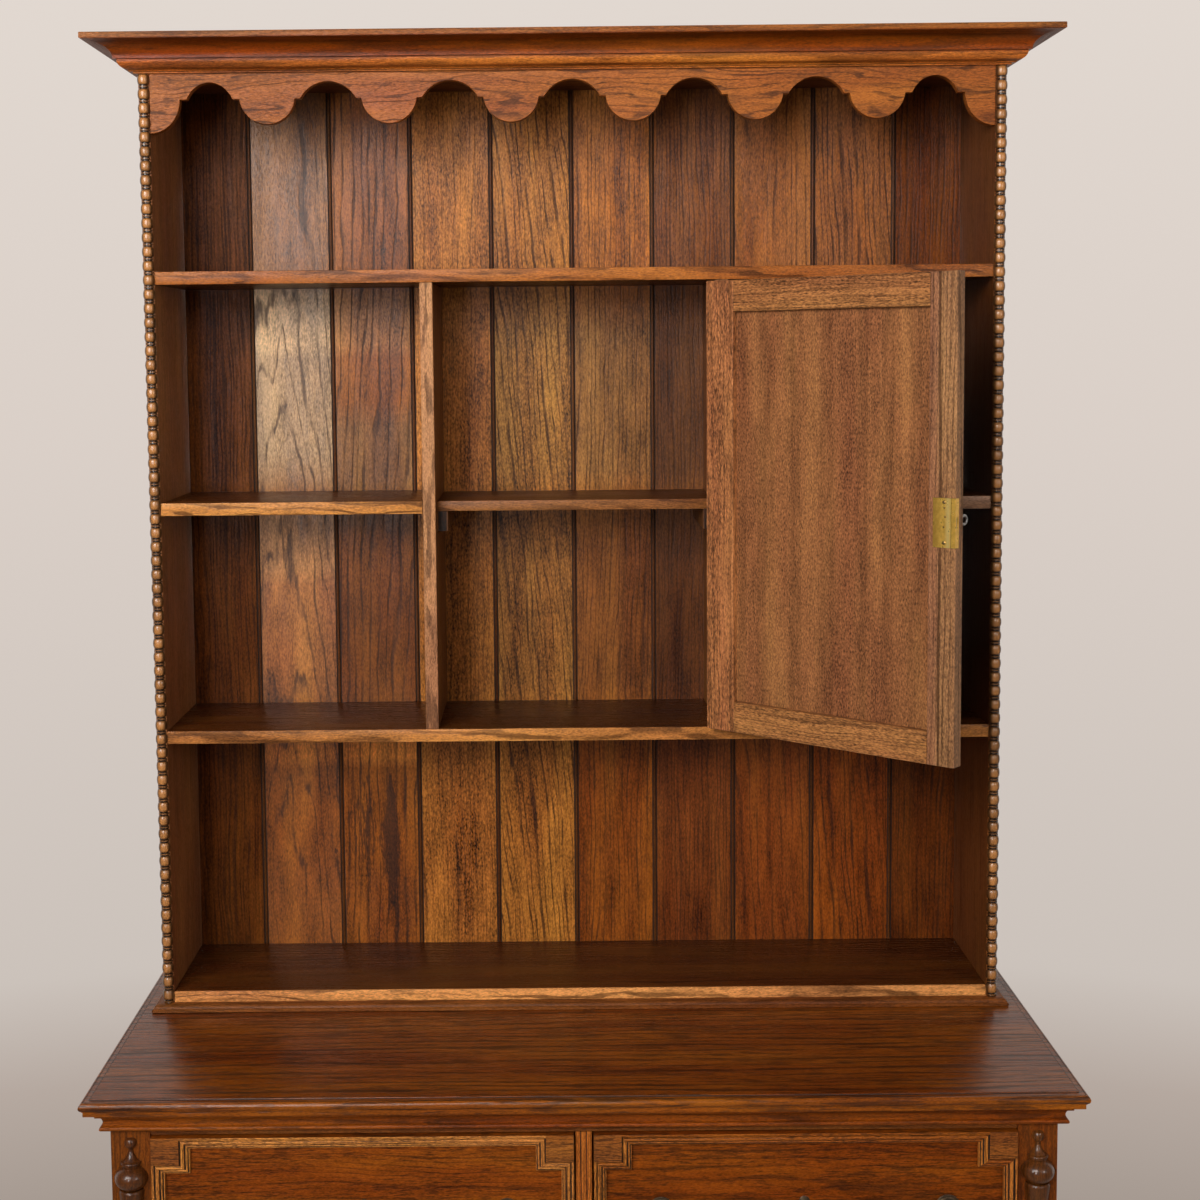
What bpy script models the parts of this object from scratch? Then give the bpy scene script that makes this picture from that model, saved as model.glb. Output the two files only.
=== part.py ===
"""A two-drawer Welsh dresser with an open plate rack, in metres, +Z up, front towards -Y."""

from math import asin, cos, pi, radians, sin, sqrt

import bmesh
import bpy
from mathutils import Vector

for old in list(bpy.data.objects):
    bpy.data.objects.remove(old, do_unlink=True)

# Driving dimensions of the base
GAP = 0.0003              # clearance between pieces that touch
SOFT = 0.0008             # softened arris of a board
BASE_HEIGHT = 0.81
TOP_LENGTH = 1.2255
DEPTH = 0.52
TOP_THICKNESS = 0.0191
SIDE_OVERHANG = 0.03035
FRONT_OVERHANG = 0.034
BACK_OVERHANG = 0.004
LEG = 0.0488
BACK_LEG = 0.045
TOP_NOSE = 0.0062         # base top's edge: nosing, quirk above and fillet below
TOP_QUIRK = 0.0056
TOP_FILLET = 0.0065
TOP_FILLET_IN = 0.0045
TOP_ARRIS = 0.0012
TOP_MOULD_LIP = 0.0155    # moulding under the top: lip, cove's root, bead
TOP_MOULD_ROOT = 0.0073
TOP_MOULD_BEAD = 0.0029
TOP_MOULD_FILLET = 0.0075
TOP_MOULD_DROP = 0.0432   # bead's middle below the top's surface
DRAWER_DROP = 0.0568      # drawer top below the top's surface
DRAWER_HEIGHT = 0.20
DRAWER_PLAY = 0.0015
RAIL_HEIGHT = 0.030
RAIL_DEPTH = 0.022
MUNTIN = 0.0214
PARTITION = 0.010
PANEL = 0.018
PANEL_SETBACK = 0.006
DUST_BOARD = 0.012
FOOT_HEIGHT = 0.085
LOW_BLOCK = 0.105
LEG_BLOCK_DROP = 0.018    # leg's upper block below the rail
LEG_BALLS = 6
BALUSTER_DROP = 0.001     # split baluster: ends inside the drawer's height, and its ball
BALUSTER_RISE = 0.012
BALUSTER_BALL = 0.0205
BALUSTER_BALL_DROP = 0.0505
STRETCHER_Z = 0.105
STRETCHER_HEIGHT = 0.045
STRETCHER_WIDTH = 0.026
POT_BOARD = 0.018
POT_BOARD_IN = 0.006      # pot board's edge inside the carcass faces

# Driving dimensions of the drawers
FRONT_BOARD = 0.018
FIELD_SETBACK = 0.004     # drawer field behind the stile face
MOULD_RISE = 0.012        # corner blocks above the field
CORNER_BLOCK = 0.0345
MOULD_STRIP = 0.003
BOX_WALL = 0.010
BOX_BOTTOM = 0.007
BOX_BACK_ROOM = 0.020
BOX_LOWER = 0.014         # box side below the front's top edge
HANDLE_SPREAD = 0.177
PLATE_RADIUS = 0.016
PIVOT_OUT = 0.0135
PIVOT_RISE = 0.006
LUG = 0.0030              # half the fork's height, and its reach past the pin

# Driving dimensions of the rack
RACK_INSET = 0.03835      # rack's outer face inside the top's end
RACK_SIDE = 0.0142
RACK_DEPTH = 0.200        # front edge to the back boards
BACK_BOARD = 0.0105
BOARD_PITCH = 0.1159
BOARD_JOINTS = 9
BOARD_BEAD = 0.0034
BOARD_QUIRK = 0.0016
SHELF = 0.0173
RACK_FLOOR_Z = 0.0255     # shelf tops above the base's top
LOWER_SHELF_Z = 0.3896
MIDDLE_SHELF_Z = 0.7020
TOP_SHELF_Z = 1.0125
RACK_TOP_Z = 1.2741       # underside of the top board
CORNICE_LAP = 0.0018      # cornice foot below the top board
CORNICE_HEIGHT = 0.0452
CORNICE_OUT = 0.0615
CORNICE_FASCIA = 0.0081   # cornice: top fascia, cove and ovolo
CORNICE_COVE_DROP = 0.0188
CORNICE_COVE_IN = 0.0268
CORNICE_OVOLO_OUT = 0.0137
CORNICE_OVOLO_RISE = 0.0109
CORNICE_STEP = 0.0015
CORNICE_FOOT = 0.0089     # foot's reach below the ovolo
RACK_SIDE_DROP = 0.008    # rack side's top below the cornice's
FRIEZE = 0.014
FRIEZE_END_ZONE = 0.156   # last pendant lobe to the rack side
FRIEZE_LOBES = 6
FRIEZE_APEX = 0.0118      # below the cornice
FRIEZE_SHOULDER = 0.0340
FRIEZE_LOBE = 0.0670
FRIEZE_END = 0.0778
FRIEZE_END_WIDTH = 0.040  # end bracket's quarter lobe
FRIEZE_STEP = 0.009       # shoulder between a lobe and the end arch
FRIEZE_ARCH_SHARE = 0.228 # half an arch or lobe in a pitch
BOBBIN_RADIUS = 0.0080
BOBBIN_COUNT = 67
PLINTH_OUT = 0.014
PLINTH_HEIGHT = 0.0107
DIVIDER_X = 0.1977
DIVIDER = 0.0174
CLEAT_WIDTH = 0.0147
CLEAT_HEIGHT = 0.027
CLEAT_BACK_ROOM = 0.003
CUPBOARD_SHELF_Z = 0.6995
CUPBOARD_SHELF = 0.014
CUPBOARD_SETBACK = 0.028

# Driving dimensions of the cupboard door
DOOR = 0.0175
DOOR_OPEN = radians(138.0)
DOOR_PLAY = 0.0030
HINGE_PLAY = 0.0022
HINGE_STILE = 0.044
LOCK_STILE = 0.037
DOOR_RAIL = 0.041
DOOR_PANEL = 0.006
PANEL_SUNK = 0.008        # panel behind the inner face
KNUCKLE = 0.0030
PIN = 0.0012
PIN_HOLE = 0.0015
LEAF = 0.0006
LEAF_WIDTH = 0.014
HINGE_HEIGHT = 0.050
HINGE_INSET = 0.095
LOCK_WIDTH = 0.0305
LOCK_HEIGHT = 0.060
LOCK_DEPTH = 0.0075
LOCK_PROUD = 0.0008
LOCK_FACE = 0.0012
LOCK_Z = 0.691
KEY_BACKSET = 0.016
KEY_SHANK = 0.0021
KEY_HOLE = 0.0026
KEY_OUT = 0.027
BOW_RADIUS = 0.0085
BOW_WIRE = 0.0019
BOLT_HEIGHT = 0.014
BOLT_THICK = 0.0036
BOLT_LENGTH = 0.0275
BOLT_THROW = 0.007

# Places worked out from the driving dimensions
FRONT = -DEPTH / 2
BACK = DEPTH / 2
CARCASS_HALF = TOP_LENGTH / 2 - SIDE_OVERHANG
CARCASS_FRONT = FRONT + FRONT_OVERHANG
CARCASS_BACK = BACK - BACK_OVERHANG
STILE_IN = CARCASS_HALF - LEG
UNDER_TOP = BASE_HEIGHT - TOP_THICKNESS - GAP
DRAWER_TOP = BASE_HEIGHT - DRAWER_DROP
DRAWER_FOOT = DRAWER_TOP - DRAWER_HEIGHT
FLOOR_RAIL_TOP = DRAWER_FOOT - DRAWER_PLAY
FLOOR_RAIL_FOOT = FLOOR_RAIL_TOP - RAIL_HEIGHT
BACK_PANEL_FRONT = CARCASS_BACK - BACK_LEG / 2 - DUST_BOARD / 2
RACK_OUT = TOP_LENGTH / 2 - RACK_INSET
RACK_HALF = RACK_OUT - RACK_SIDE
RACK_BACK = BACK
BOARDS_FRONT = RACK_BACK - BACK_BOARD
RACK_FRONT = BOARDS_FRONT - RACK_DEPTH
DIVIDER_IN = DIVIDER_X - DIVIDER / 2
CORNICE_Z = RACK_TOP_Z - CORNICE_LAP
FRIEZE_PITCH = 2 * (RACK_HALF - FRIEZE_END_ZONE) / (FRIEZE_LOBES - 1)
PIVOT = Vector((DIVIDER_IN - HINGE_PLAY / 2, RACK_FRONT - KNUCKLE - SOFT, BASE_HEIGHT))


def paint(name, colour, roughness, metallic=0.0):
    """A Principled material."""
    material = bpy.data.materials.new(name)
    material.use_nodes = True
    shader = material.node_tree.nodes["Principled BSDF"]
    shader.inputs["Base Color"].default_value = (*colour, 1.0)
    shader.inputs["Roughness"].default_value = roughness
    shader.inputs["Metallic"].default_value = metallic
    material.diffuse_color = (*colour, 1.0)
    return material


OAK = paint("oak", (0.30, 0.15, 0.065), 0.45)
DARK_OAK = paint("dark_oak", (0.15, 0.07, 0.03), 0.42)
PALE_OAK = paint("drawer_lining", (0.42, 0.27, 0.14), 0.6)
BRASS = paint("brass", (0.55, 0.38, 0.14), 0.38, 1.0)
BRONZE = paint("dark_bronze", (0.09, 0.06, 0.04), 0.45, 1.0)
STEEL = paint("steel", (0.45, 0.44, 0.42), 0.35, 1.0)


def empty(name, place, turn=0.0):
    """A parent on a moving piece's place."""
    holder = bpy.data.objects.new(name, None)
    holder.location = place
    holder.rotation_euler = (0.0, 0.0, turn)
    bpy.context.collection.objects.link(holder)
    return holder


def put(name, form, material, parent=None, origin=(0.0, 0.0, 0.0), smooth=None):
    """An object from a bmesh or a mesh given in closed-pose world coordinates."""
    if isinstance(form, bpy.types.Mesh):
        mesh = form
    else:
        mesh = bpy.data.meshes.new(name)
        form.to_mesh(mesh)
        form.free()
    mesh.name = name
    origin = Vector(origin)
    for vertex in mesh.vertices:
        vertex.co -= origin
    if smooth is not None:
        mesh.shade_smooth()
        mesh.set_sharp_from_angle(angle=radians(smooth))
    mesh.materials.clear()
    mesh.materials.append(material)
    piece = bpy.data.objects.new(name, mesh)
    bpy.context.collection.objects.link(piece)
    piece.location = origin
    if parent is not None:
        piece.parent = parent
        piece.location = origin - parent.location
    return piece


def outward(form):
    """Faces turned outwards."""
    bmesh.ops.recalc_face_normals(form, faces=form.faces)
    return form


def loft(rings):
    """A closed body through rings of equally many points."""
    form = bmesh.new()
    loops = [[form.verts.new(point) for point in ring] for ring in rings]
    count = len(loops[0])
    for low, high in zip(loops, loops[1:]):
        for i in range(count):
            j = (i + 1) % count
            form.faces.new((low[i], low[j], high[j], high[i]))
    form.faces.new(list(reversed(loops[0])))
    form.faces.new(loops[-1])
    return outward(form)


def block(low, high, soft=SOFT):
    """A box with softened arrises."""
    (x0, y0, z0), (x1, y1, z1) = low, high
    plan = ((x0, y0), (x1, y0), (x1, y1), (x0, y1))
    form = loft([[(x, y, z) for x, y in plan] for z in (z0, z1)])
    if soft:
        bmesh.ops.bevel(form, geom=form.edges[:], offset=soft, segments=1, affect="EDGES")
    return form


def prism(outline, axis, low, high):
    """An outline drawn square to one axis and extruded along it."""
    if axis == "x":
        rings = [[(d, a, b) for a, b in outline] for d in (low, high)]
    elif axis == "y":
        rings = [[(a, d, b) for a, b in outline] for d in (low, high)]
    else:
        rings = [[(a, b, d) for a, b in outline] for d in (low, high)]
    return loft(rings)


def turned(profile, centre, sides, axis="z"):
    """A full turning: profile holds (distance along the axis, radius)."""
    rings = []
    for along, radius in profile:
        ring = []
        for i in range(sides):
            a = radius * cos(2 * pi * i / sides)
            b = radius * sin(2 * pi * i / sides)
            offset = {"z": (a, b, along), "y": (a, along, b), "x": (along, a, b)}[axis]
            ring.append(Vector(centre) + Vector(offset))
        rings.append(ring)
    return loft(rings)


def split_turned(profile, centre, sides):
    """Half a turning with its flat side facing +Y."""
    rings = []
    for along, radius in profile:
        angles = [pi + pi * i / sides for i in range(sides + 1)]
        rings.append([(centre[0] + radius * cos(t), centre[1] + radius * sin(t), along) for t in angles])
    return loft(rings)


def combined(body, tools, operation):
    """The Boolean of a bmesh with others, as a mesh."""
    pieces = []
    for number, form in enumerate([body, *tools]):
        mesh = bpy.data.meshes.new(f"stock_{number}")
        form.to_mesh(mesh)
        form.free()
        piece = bpy.data.objects.new(f"stock_{number}", mesh)
        bpy.context.collection.objects.link(piece)
        pieces.append(piece)
    for tool in pieces[1:]:
        step = pieces[0].modifiers.new(tool.name, "BOOLEAN")
        step.operation = operation
        step.object = tool
    bpy.context.view_layer.update()
    graph = bpy.context.evaluated_depsgraph_get()
    result = bpy.data.meshes.new_from_object(pieces[0].evaluated_get(graph))
    for piece in pieces:
        bpy.data.objects.remove(piece, do_unlink=True)
    return result


def arc(centre, radius, start, end, steps):
    """Points on an arc, angles in degrees."""
    turns = [radians(start + (end - start) * i / steps) for i in range(steps + 1)]
    return [(centre[0] + radius * cos(t), centre[1] + radius * sin(t)) for t in turns]


def three_sided(half, front, back, out):
    """Corners of a run along both sides and the front, set out by a distance."""
    return ((-half - out, back), (-half - out, front - out), (half + out, front - out), (half + out, back))


def mitred_run(profile, half, front, back):
    """A moulding mitred round the front: profile holds (distance out, height)."""
    corners = [three_sided(half, front, back, out) for out, _ in profile]
    rings = []
    for k in range(4):
        rings.append([(*corners[i][k], z) for i, (_, z) in enumerate(profile)])
    return loft(rings)


def moulded_slab(profile, half, front, back):
    """A board whose front and side edges carry a moulding."""
    return loft([[(x, y, z) for x, y in three_sided(half, front, back, out)] for out, z in profile])


# Base carcass
def base_top():
    low = BASE_HEIGHT - TOP_THICKNESS
    crest = -TOP_NOSE - TOP_QUIRK
    profile = [(-TOP_FILLET_IN, low), (-TOP_FILLET_IN, low + TOP_FILLET)]
    profile += arc((-TOP_NOSE, low + TOP_FILLET + TOP_NOSE), TOP_NOSE, -60, 75, 5)
    profile += [(crest, BASE_HEIGHT - TOP_ARRIS), (crest - TOP_ARRIS, BASE_HEIGHT)]
    put("base_top", moulded_slab(profile, TOP_LENGTH / 2, FRONT, BACK), DARK_OAK)


def under_top_moulding():
    root, lip, bead = TOP_MOULD_ROOT, TOP_MOULD_LIP, TOP_MOULD_BEAD
    bead_z = BASE_HEIGHT - TOP_MOULD_DROP
    cove = lip - root
    profile = [(GAP, UNDER_TOP), (lip, UNDER_TOP), (lip, UNDER_TOP - TOP_MOULD_FILLET)]
    profile += arc((lip, UNDER_TOP - TOP_MOULD_FILLET - cove), cove, 105, 180, 4)
    profile += arc((root + 0.4 * bead, bead_z), bead, 75, -75, 5)
    profile += [(GAP, bead_z - bead)]
    put("under_top_moulding", mitred_run(profile, CARCASS_HALF, CARCASS_FRONT, CARCASS_BACK), OAK)


def leg_ring(x, y, z, half, square, sides=16):
    """A ring of a leg, square or round, with equally many points."""
    ring = []
    for i in range(sides):
        a, b = cos(2 * pi * i / sides), sin(2 * pi * i / sides)
        stretch = half / max(abs(a), abs(b)) if square else half
        ring.append((x + a * stretch, y + b * stretch, z))
    return ring


def front_leg(name, side):
    x = side * (CARCASS_HALF - LEG / 2)
    y = CARCASS_FRONT + LEG / 2
    half = LEG / 2
    block_foot = FLOOR_RAIL_FOOT - LEG_BLOCK_DROP
    low_top = FOOT_HEIGHT + LOW_BLOCK
    pitch = (block_foot - low_top) / LEG_BALLS
    foot = ((0.0, 0.6), (0.09, 0.82), (0.31, 1.0), (0.59, 0.9), (0.78, 0.5), (1.0, 0.62))
    rings = [leg_ring(x, y, rise * FOOT_HEIGHT, share * half, False) for rise, share in foot]
    rings += [leg_ring(x, y, FOOT_HEIGHT, half, True), leg_ring(x, y, low_top, half, True)]
    for ball in range(LEG_BALLS):
        for u in (-0.96, -0.6, -0.1, 0.4, 0.8):
            z = low_top + (ball + 0.5 + u / 2) * pitch
            rings.append(leg_ring(x, y, z, half * (0.55 + 0.42 * sqrt(1 - u * u)), False))
    rings.append(leg_ring(x, y, block_foot, half * 0.6, False))
    rings += [leg_ring(x, y, block_foot, half, True), leg_ring(x, y, UNDER_TOP, half, True)]
    put(name, loft(rings), OAK, smooth=40)


def back_leg(name, side):
    x0, x1 = sorted((side * CARCASS_HALF, side * (CARCASS_HALF - BACK_LEG)))
    put(name, block((x0, CARCASS_BACK - BACK_LEG, 0.0), (x1, CARCASS_BACK, UNDER_TOP)), OAK)


def side_panel(name, side):
    face = CARCASS_HALF - PANEL_SETBACK
    x0, x1 = sorted((side * face, side * (face - PANEL)))
    low = (x0, CARCASS_FRONT + LEG + GAP, FLOOR_RAIL_FOOT)
    put(name, block(low, (x1, CARCASS_BACK - BACK_LEG - GAP, UNDER_TOP)), OAK)


def carcass():
    back_reach = CARCASS_HALF - BACK_LEG - GAP
    put("base_back", block((-back_reach, BACK_PANEL_FRONT, FLOOR_RAIL_FOOT),
                           (back_reach, BACK_PANEL_FRONT + DUST_BOARD, UNDER_TOP)), DARK_OAK)
    reach = STILE_IN - GAP
    rail_back = CARCASS_FRONT + RAIL_DEPTH
    for name, low, high in (("top_rail", DRAWER_TOP + DRAWER_PLAY, UNDER_TOP),
                            ("bottom_rail", FLOOR_RAIL_FOOT, FLOOR_RAIL_TOP)):
        put(name, block((-reach, CARCASS_FRONT, low), (reach, rail_back, high)), OAK)
    dust = CARCASS_HALF - PANEL_SETBACK - PANEL - GAP
    notch_front = CARCASS_FRONT + LEG + GAP
    outline = [(-reach, rail_back + GAP), (reach, rail_back + GAP), (reach, notch_front), (dust, notch_front)]
    outline += [(dust, CARCASS_BACK - BACK_LEG - GAP), (back_reach, CARCASS_BACK - BACK_LEG - GAP)]
    outline += [(back_reach, BACK_PANEL_FRONT - GAP), (-back_reach, BACK_PANEL_FRONT - GAP)]
    outline += [(-back_reach, CARCASS_BACK - BACK_LEG - GAP), (-dust, CARCASS_BACK - BACK_LEG - GAP)]
    outline += [(-dust, notch_front), (-reach, notch_front)]
    put("dust_board", prism(outline, "z", FLOOR_RAIL_TOP - DUST_BOARD, FLOOR_RAIL_TOP), DARK_OAK)
    post, web = MUNTIN / 2, PARTITION / 2
    plan = [(-post, CARCASS_FRONT), (post, CARCASS_FRONT), (post, rail_back), (web, rail_back)]
    plan += [(web, BACK_PANEL_FRONT - GAP), (-web, BACK_PANEL_FRONT - GAP)]
    plan += [(-web, rail_back), (-post, rail_back)]
    put("muntin", prism(plan, "z", FLOOR_RAIL_TOP + GAP, DRAWER_TOP + DRAWER_PLAY - GAP), OAK)


def pot_board_and_stretchers():
    low, high = STRETCHER_Z, STRETCHER_Z + STRETCHER_HEIGHT
    for side, name in ((-1, "stretcher_left"), (1, "stretcher_right")):
        mid = side * (CARCASS_HALF - LEG / 2)
        put(name, block((mid - STRETCHER_WIDTH / 2, CARCASS_FRONT + LEG + GAP, low),
                        (mid + STRETCHER_WIDTH / 2, CARCASS_BACK - BACK_LEG - GAP, high)), OAK)
    y = CARCASS_FRONT + (LEG - STRETCHER_WIDTH) / 2
    reach = STILE_IN - GAP
    put("stretcher_front", block((-reach, y, low), (reach, y + STRETCHER_WIDTH, high)), OAK)
    wide = CARCASS_HALF - POT_BOARD_IN
    front, back = CARCASS_FRONT + POT_BOARD_IN, CARCASS_BACK - POT_BOARD_IN
    leg_back, leg_front = CARCASS_FRONT + LEG + GAP, CARCASS_BACK - BACK_LEG - GAP
    rear = CARCASS_HALF - BACK_LEG - GAP
    half = [(reach, front), (reach, leg_back), (wide, leg_back)]
    half += [(wide, leg_front), (rear, leg_front), (rear, back)]
    outline = half + [(-x, y) for x, y in reversed(half)]
    put("pot_board", prism(outline, "z", high + GAP, high + GAP + POT_BOARD), DARK_OAK)


def split_baluster(name, side):
    """The applied half turning on a leg's block."""
    top = DRAWER_TOP - BALUSTER_DROP
    foot = DRAWER_FOOT + BALUSTER_RISE
    ball_z, ball = top - BALUSTER_BALL_DROP, BALUSTER_BALL
    profile = [(top, 0.004), (top - 0.002, 0.0066), (top - 0.007, 0.0074), (top - 0.012, 0.0062)]
    profile += [(top - 0.0135, 0.0030), (top - 0.020, 0.0038), (top - 0.029, 0.0100)]
    profile += [(top - 0.0295, 0.0122), (top - 0.0330, 0.0122)]
    profile += [(ball_z + 0.0145 * sin(t), ball * cos(t)) for t in (pi / 3.2, pi / 6, 0, -pi / 6, -pi / 3.2)]
    profile += [(top - 0.0650, 0.0146), (top - 0.070, 0.0154), (top - 0.115, 0.0105)]
    profile += [(foot + 0.022, 0.0048), (foot + 0.020, 0.0080), (foot + 0.011, 0.0095), (foot + 0.002, 0.0065)]
    profile += [(foot, 0.003)]
    centre = (side * (CARCASS_HALF - LEG / 2), CARCASS_FRONT - GAP)
    put(name, split_turned(profile, centre, 8), DARK_OAK, smooth=40)


# Drawers
def notched(x0, x1, z0, z1, strip, corner, y):
    """A rectangle whose corners step in round a square block, as twelve points."""
    return [
        (x0 + strip, y, z0 + corner), (x0 + corner, y, z0 + corner), (x0 + corner, y, z0 + strip),
        (x1 - corner, y, z0 + strip), (x1 - corner, y, z0 + corner), (x1 - strip, y, z0 + corner),
        (x1 - strip, y, z1 - corner), (x1 - corner, y, z1 - corner), (x1 - corner, y, z1 - strip),
        (x0 + corner, y, z1 - strip), (x0 + corner, y, z1 - corner), (x0 + strip, y, z1 - corner),
    ]


def squared(x0, x1, z0, z1, corner, y):
    """The same twelve points on a plain rectangle."""
    return [
        (x0, y, z0 + corner), (x0, y, z0), (x0 + corner, y, z0),
        (x1 - corner, y, z0), (x1, y, z0), (x1, y, z0 + corner),
        (x1, y, z1 - corner), (x1, y, z1), (x1 - corner, y, z1),
        (x0 + corner, y, z1), (x0, y, z1), (x0, y, z1 - corner),
    ]


def drawer_front(name, x0, x1, holder):
    field = CARCASS_FRONT + FIELD_SETBACK
    proud = field - MOULD_RISE
    rear = field + FRONT_BOARD
    span = (x0, x1, DRAWER_FOOT, DRAWER_TOP)
    rings = [squared(*span, CORNER_BLOCK, rear), squared(*span, CORNER_BLOCK, proud + 0.001)]
    steps = ((0.0, 0.0), (0.0006, 0.0035), (0.0030, 0.0008), (0.0062, 0.0008), (0.0090, 0.0060),
             (0.0105, MOULD_RISE))
    for inset, depth in steps:
        rings.append(notched(*span, MOULD_STRIP + inset, CORNER_BLOCK + inset, proud + depth))
    put(name, loft(rings), OAK, holder, holder.location)


def drawer_box(name, x0, x1, holder):
    front = CARCASS_FRONT + FIELD_SETBACK + FRONT_BOARD + GAP
    rear = BACK_PANEL_FRONT - BOX_BACK_ROOM
    low = (x0, front, FLOOR_RAIL_TOP + GAP)
    high = (x1, rear, DRAWER_TOP - BOX_LOWER)
    hollow = block((x0 + BOX_WALL, front - BOX_WALL, low[2] + BOX_BOTTOM),
                   (x1 - BOX_WALL, rear - BOX_WALL, high[2] + BOX_WALL), 0.0)
    put(name, combined(block(low, high, 0.0), [hollow], "DIFFERENCE"), PALE_OAK, holder, holder.location)


def handle_plate(name, x, y, z, holder):
    """A round plate with the fork and pin that the drop hangs on."""
    rose = turned([(0.0, PLATE_RADIUS), (-0.0012, PLATE_RADIUS), (-0.0020, 0.013), (-0.0030, 0.009),
                   (-0.0034, 0.004)], (x, y - GAP, z), 16, "y")
    tip = y - PIVOT_OUT - LUG
    lugs = []
    for side in (-1, 1):
        inner, outer = sorted((x + side * 0.0024, x + side * 0.0048))
        foot, crown = z + PIVOT_RISE - LUG, z + PIVOT_RISE + LUG
        lugs.append(block((inner, tip, foot), (outer, y - 0.001, crown), 0.0))
    pin = turned([(-0.0040, PIN), (0.0040, PIN)], (x, y - PIVOT_OUT, z + PIVOT_RISE), 8, "x")
    put(name, combined(rose, [*lugs, pin], "UNION"), BRONZE, holder, holder.location)


def handle_drop(name, x, y, z, holder):
    """A pear drop hanging from an eye round the pin."""
    axis = Vector((x, y - PIVOT_OUT, z + PIVOT_RISE))
    eye = turned([(-0.0019, 0.0040), (0.0019, 0.0040)], axis, 12, "x")
    profile = [(-0.0032, 0.0016), (-0.010, 0.0022), (-0.022, 0.0044), (-0.033, 0.0072), (-0.039, 0.0072),
               (-0.043, 0.0046), (-0.045, 0.0022), (-0.048, 0.0026), (-0.050, 0.0012)]
    pear = turned(profile, axis, 10)
    bore = turned([(-0.004, PIN_HOLE + 0.0004), (0.004, PIN_HOLE + 0.0004)], axis, 8, "x")
    whole = bmesh.new()
    whole.from_mesh(combined(eye, [pear], "UNION"))
    put(name, combined(whole, [bore], "DIFFERENCE"), BRONZE, holder, axis, smooth=45)


def drawer(side, word):
    x0, x1 = sorted((side * (MUNTIN / 2 + DRAWER_PLAY), side * (STILE_IN - DRAWER_PLAY)))
    middle = (x0 + x1) / 2
    field = CARCASS_FRONT + FIELD_SETBACK
    z = (DRAWER_TOP + DRAWER_FOOT) / 2
    holder = empty(f"drawer_{word}", (middle, CARCASS_FRONT, z))
    drawer_front(f"drawer_{word}_front", x0, x1, holder)
    drawer_box(f"drawer_{word}_box", x0 + DRAWER_PLAY, x1 - DRAWER_PLAY, holder)
    for sign, place in ((-1, "a"), (1, "b")):
        x = middle + sign * HANDLE_SPREAD
        handle_plate(f"drawer_{word}_plate_{place}", x, field, z, holder)
        handle_drop(f"drawer_{word}_drop_{place}", x, field, z, holder)


# Plate rack
def rack_boards():
    inner = RACK_HALF - GAP
    rear = BOARDS_FRONT - GAP
    for side, name in ((-1, "rack_side_left"), (1, "rack_side_right")):
        x0, x1 = sorted((side * RACK_HALF, side * RACK_OUT))
        top = BASE_HEIGHT + CORNICE_Z + CORNICE_HEIGHT - RACK_SIDE_DROP
        put(name, block((x0, RACK_FRONT, BASE_HEIGHT + GAP), (x1, RACK_BACK, top)), OAK)
    for name, z in (("rack_floor", RACK_FLOOR_Z), ("shelf_lower", LOWER_SHELF_Z), ("shelf_top", TOP_SHELF_Z)):
        top = BASE_HEIGHT + z
        put(name, block((-inner, RACK_FRONT, top - SHELF), (inner, rear, top)), OAK)
    top = BASE_HEIGHT + RACK_TOP_Z
    put("rack_top_board", block((-inner, RACK_FRONT + FRIEZE + GAP, top), (inner, rear, top + SHELF)), OAK)
    near = DIVIDER_X + DIVIDER / 2 + GAP
    top = BASE_HEIGHT + MIDDLE_SHELF_Z
    put("shelf_middle_left", block((-inner, RACK_FRONT, top - SHELF), (-near, rear, top)), OAK)
    put("shelf_middle_right", block((near, RACK_FRONT, top - SHELF), (inner, rear, top)), OAK)
    top = BASE_HEIGHT + CUPBOARD_SHELF_Z
    reach = DIVIDER_IN - GAP
    front = RACK_FRONT + CUPBOARD_SETBACK
    put("cupboard_shelf", block((-reach, front, top - CUPBOARD_SHELF), (reach, rear, top)), OAK)


def divider(name, side):
    """An upright of the cupboard with the cleat that carries its shelf, and the strike on the lock side."""
    x0, x1 = sorted((side * DIVIDER_IN, side * (DIVIDER_IN + DIVIDER)))
    low = BASE_HEIGHT + LOWER_SHELF_Z + GAP
    high = BASE_HEIGHT + TOP_SHELF_Z - SHELF - GAP
    rear = BOARDS_FRONT - GAP
    upright = block((x0, RACK_FRONT, low), (x1, rear, high))
    cleat_top = BASE_HEIGHT + CUPBOARD_SHELF_Z - CUPBOARD_SHELF - GAP
    c0, c1 = sorted((side * (DIVIDER_IN + 0.002), side * (DIVIDER_IN - CLEAT_WIDTH)))
    front = RACK_FRONT + CUPBOARD_SETBACK
    cleat = block((c0, front, cleat_top - CLEAT_HEIGHT), (c1, rear - CLEAT_BACK_ROOM, cleat_top), 0.0)
    if side > 0:
        put(name, combined(upright, [cleat], "UNION"), OAK)
        return
    joined = bmesh.new()
    joined.from_mesh(combined(upright, [cleat], "UNION"))
    mid = lock_middle()
    strike = block((x1 - BOLT_THROW - 0.002, mid.y - BOLT_THICK, mid.z - BOLT_HEIGHT / 2 - 0.0015),
                   (x1 + 0.002, mid.y + BOLT_THICK, mid.z + BOLT_HEIGHT / 2 + 0.0015), 0.0)
    put(name, combined(joined, [strike], "DIFFERENCE"), OAK)


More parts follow.
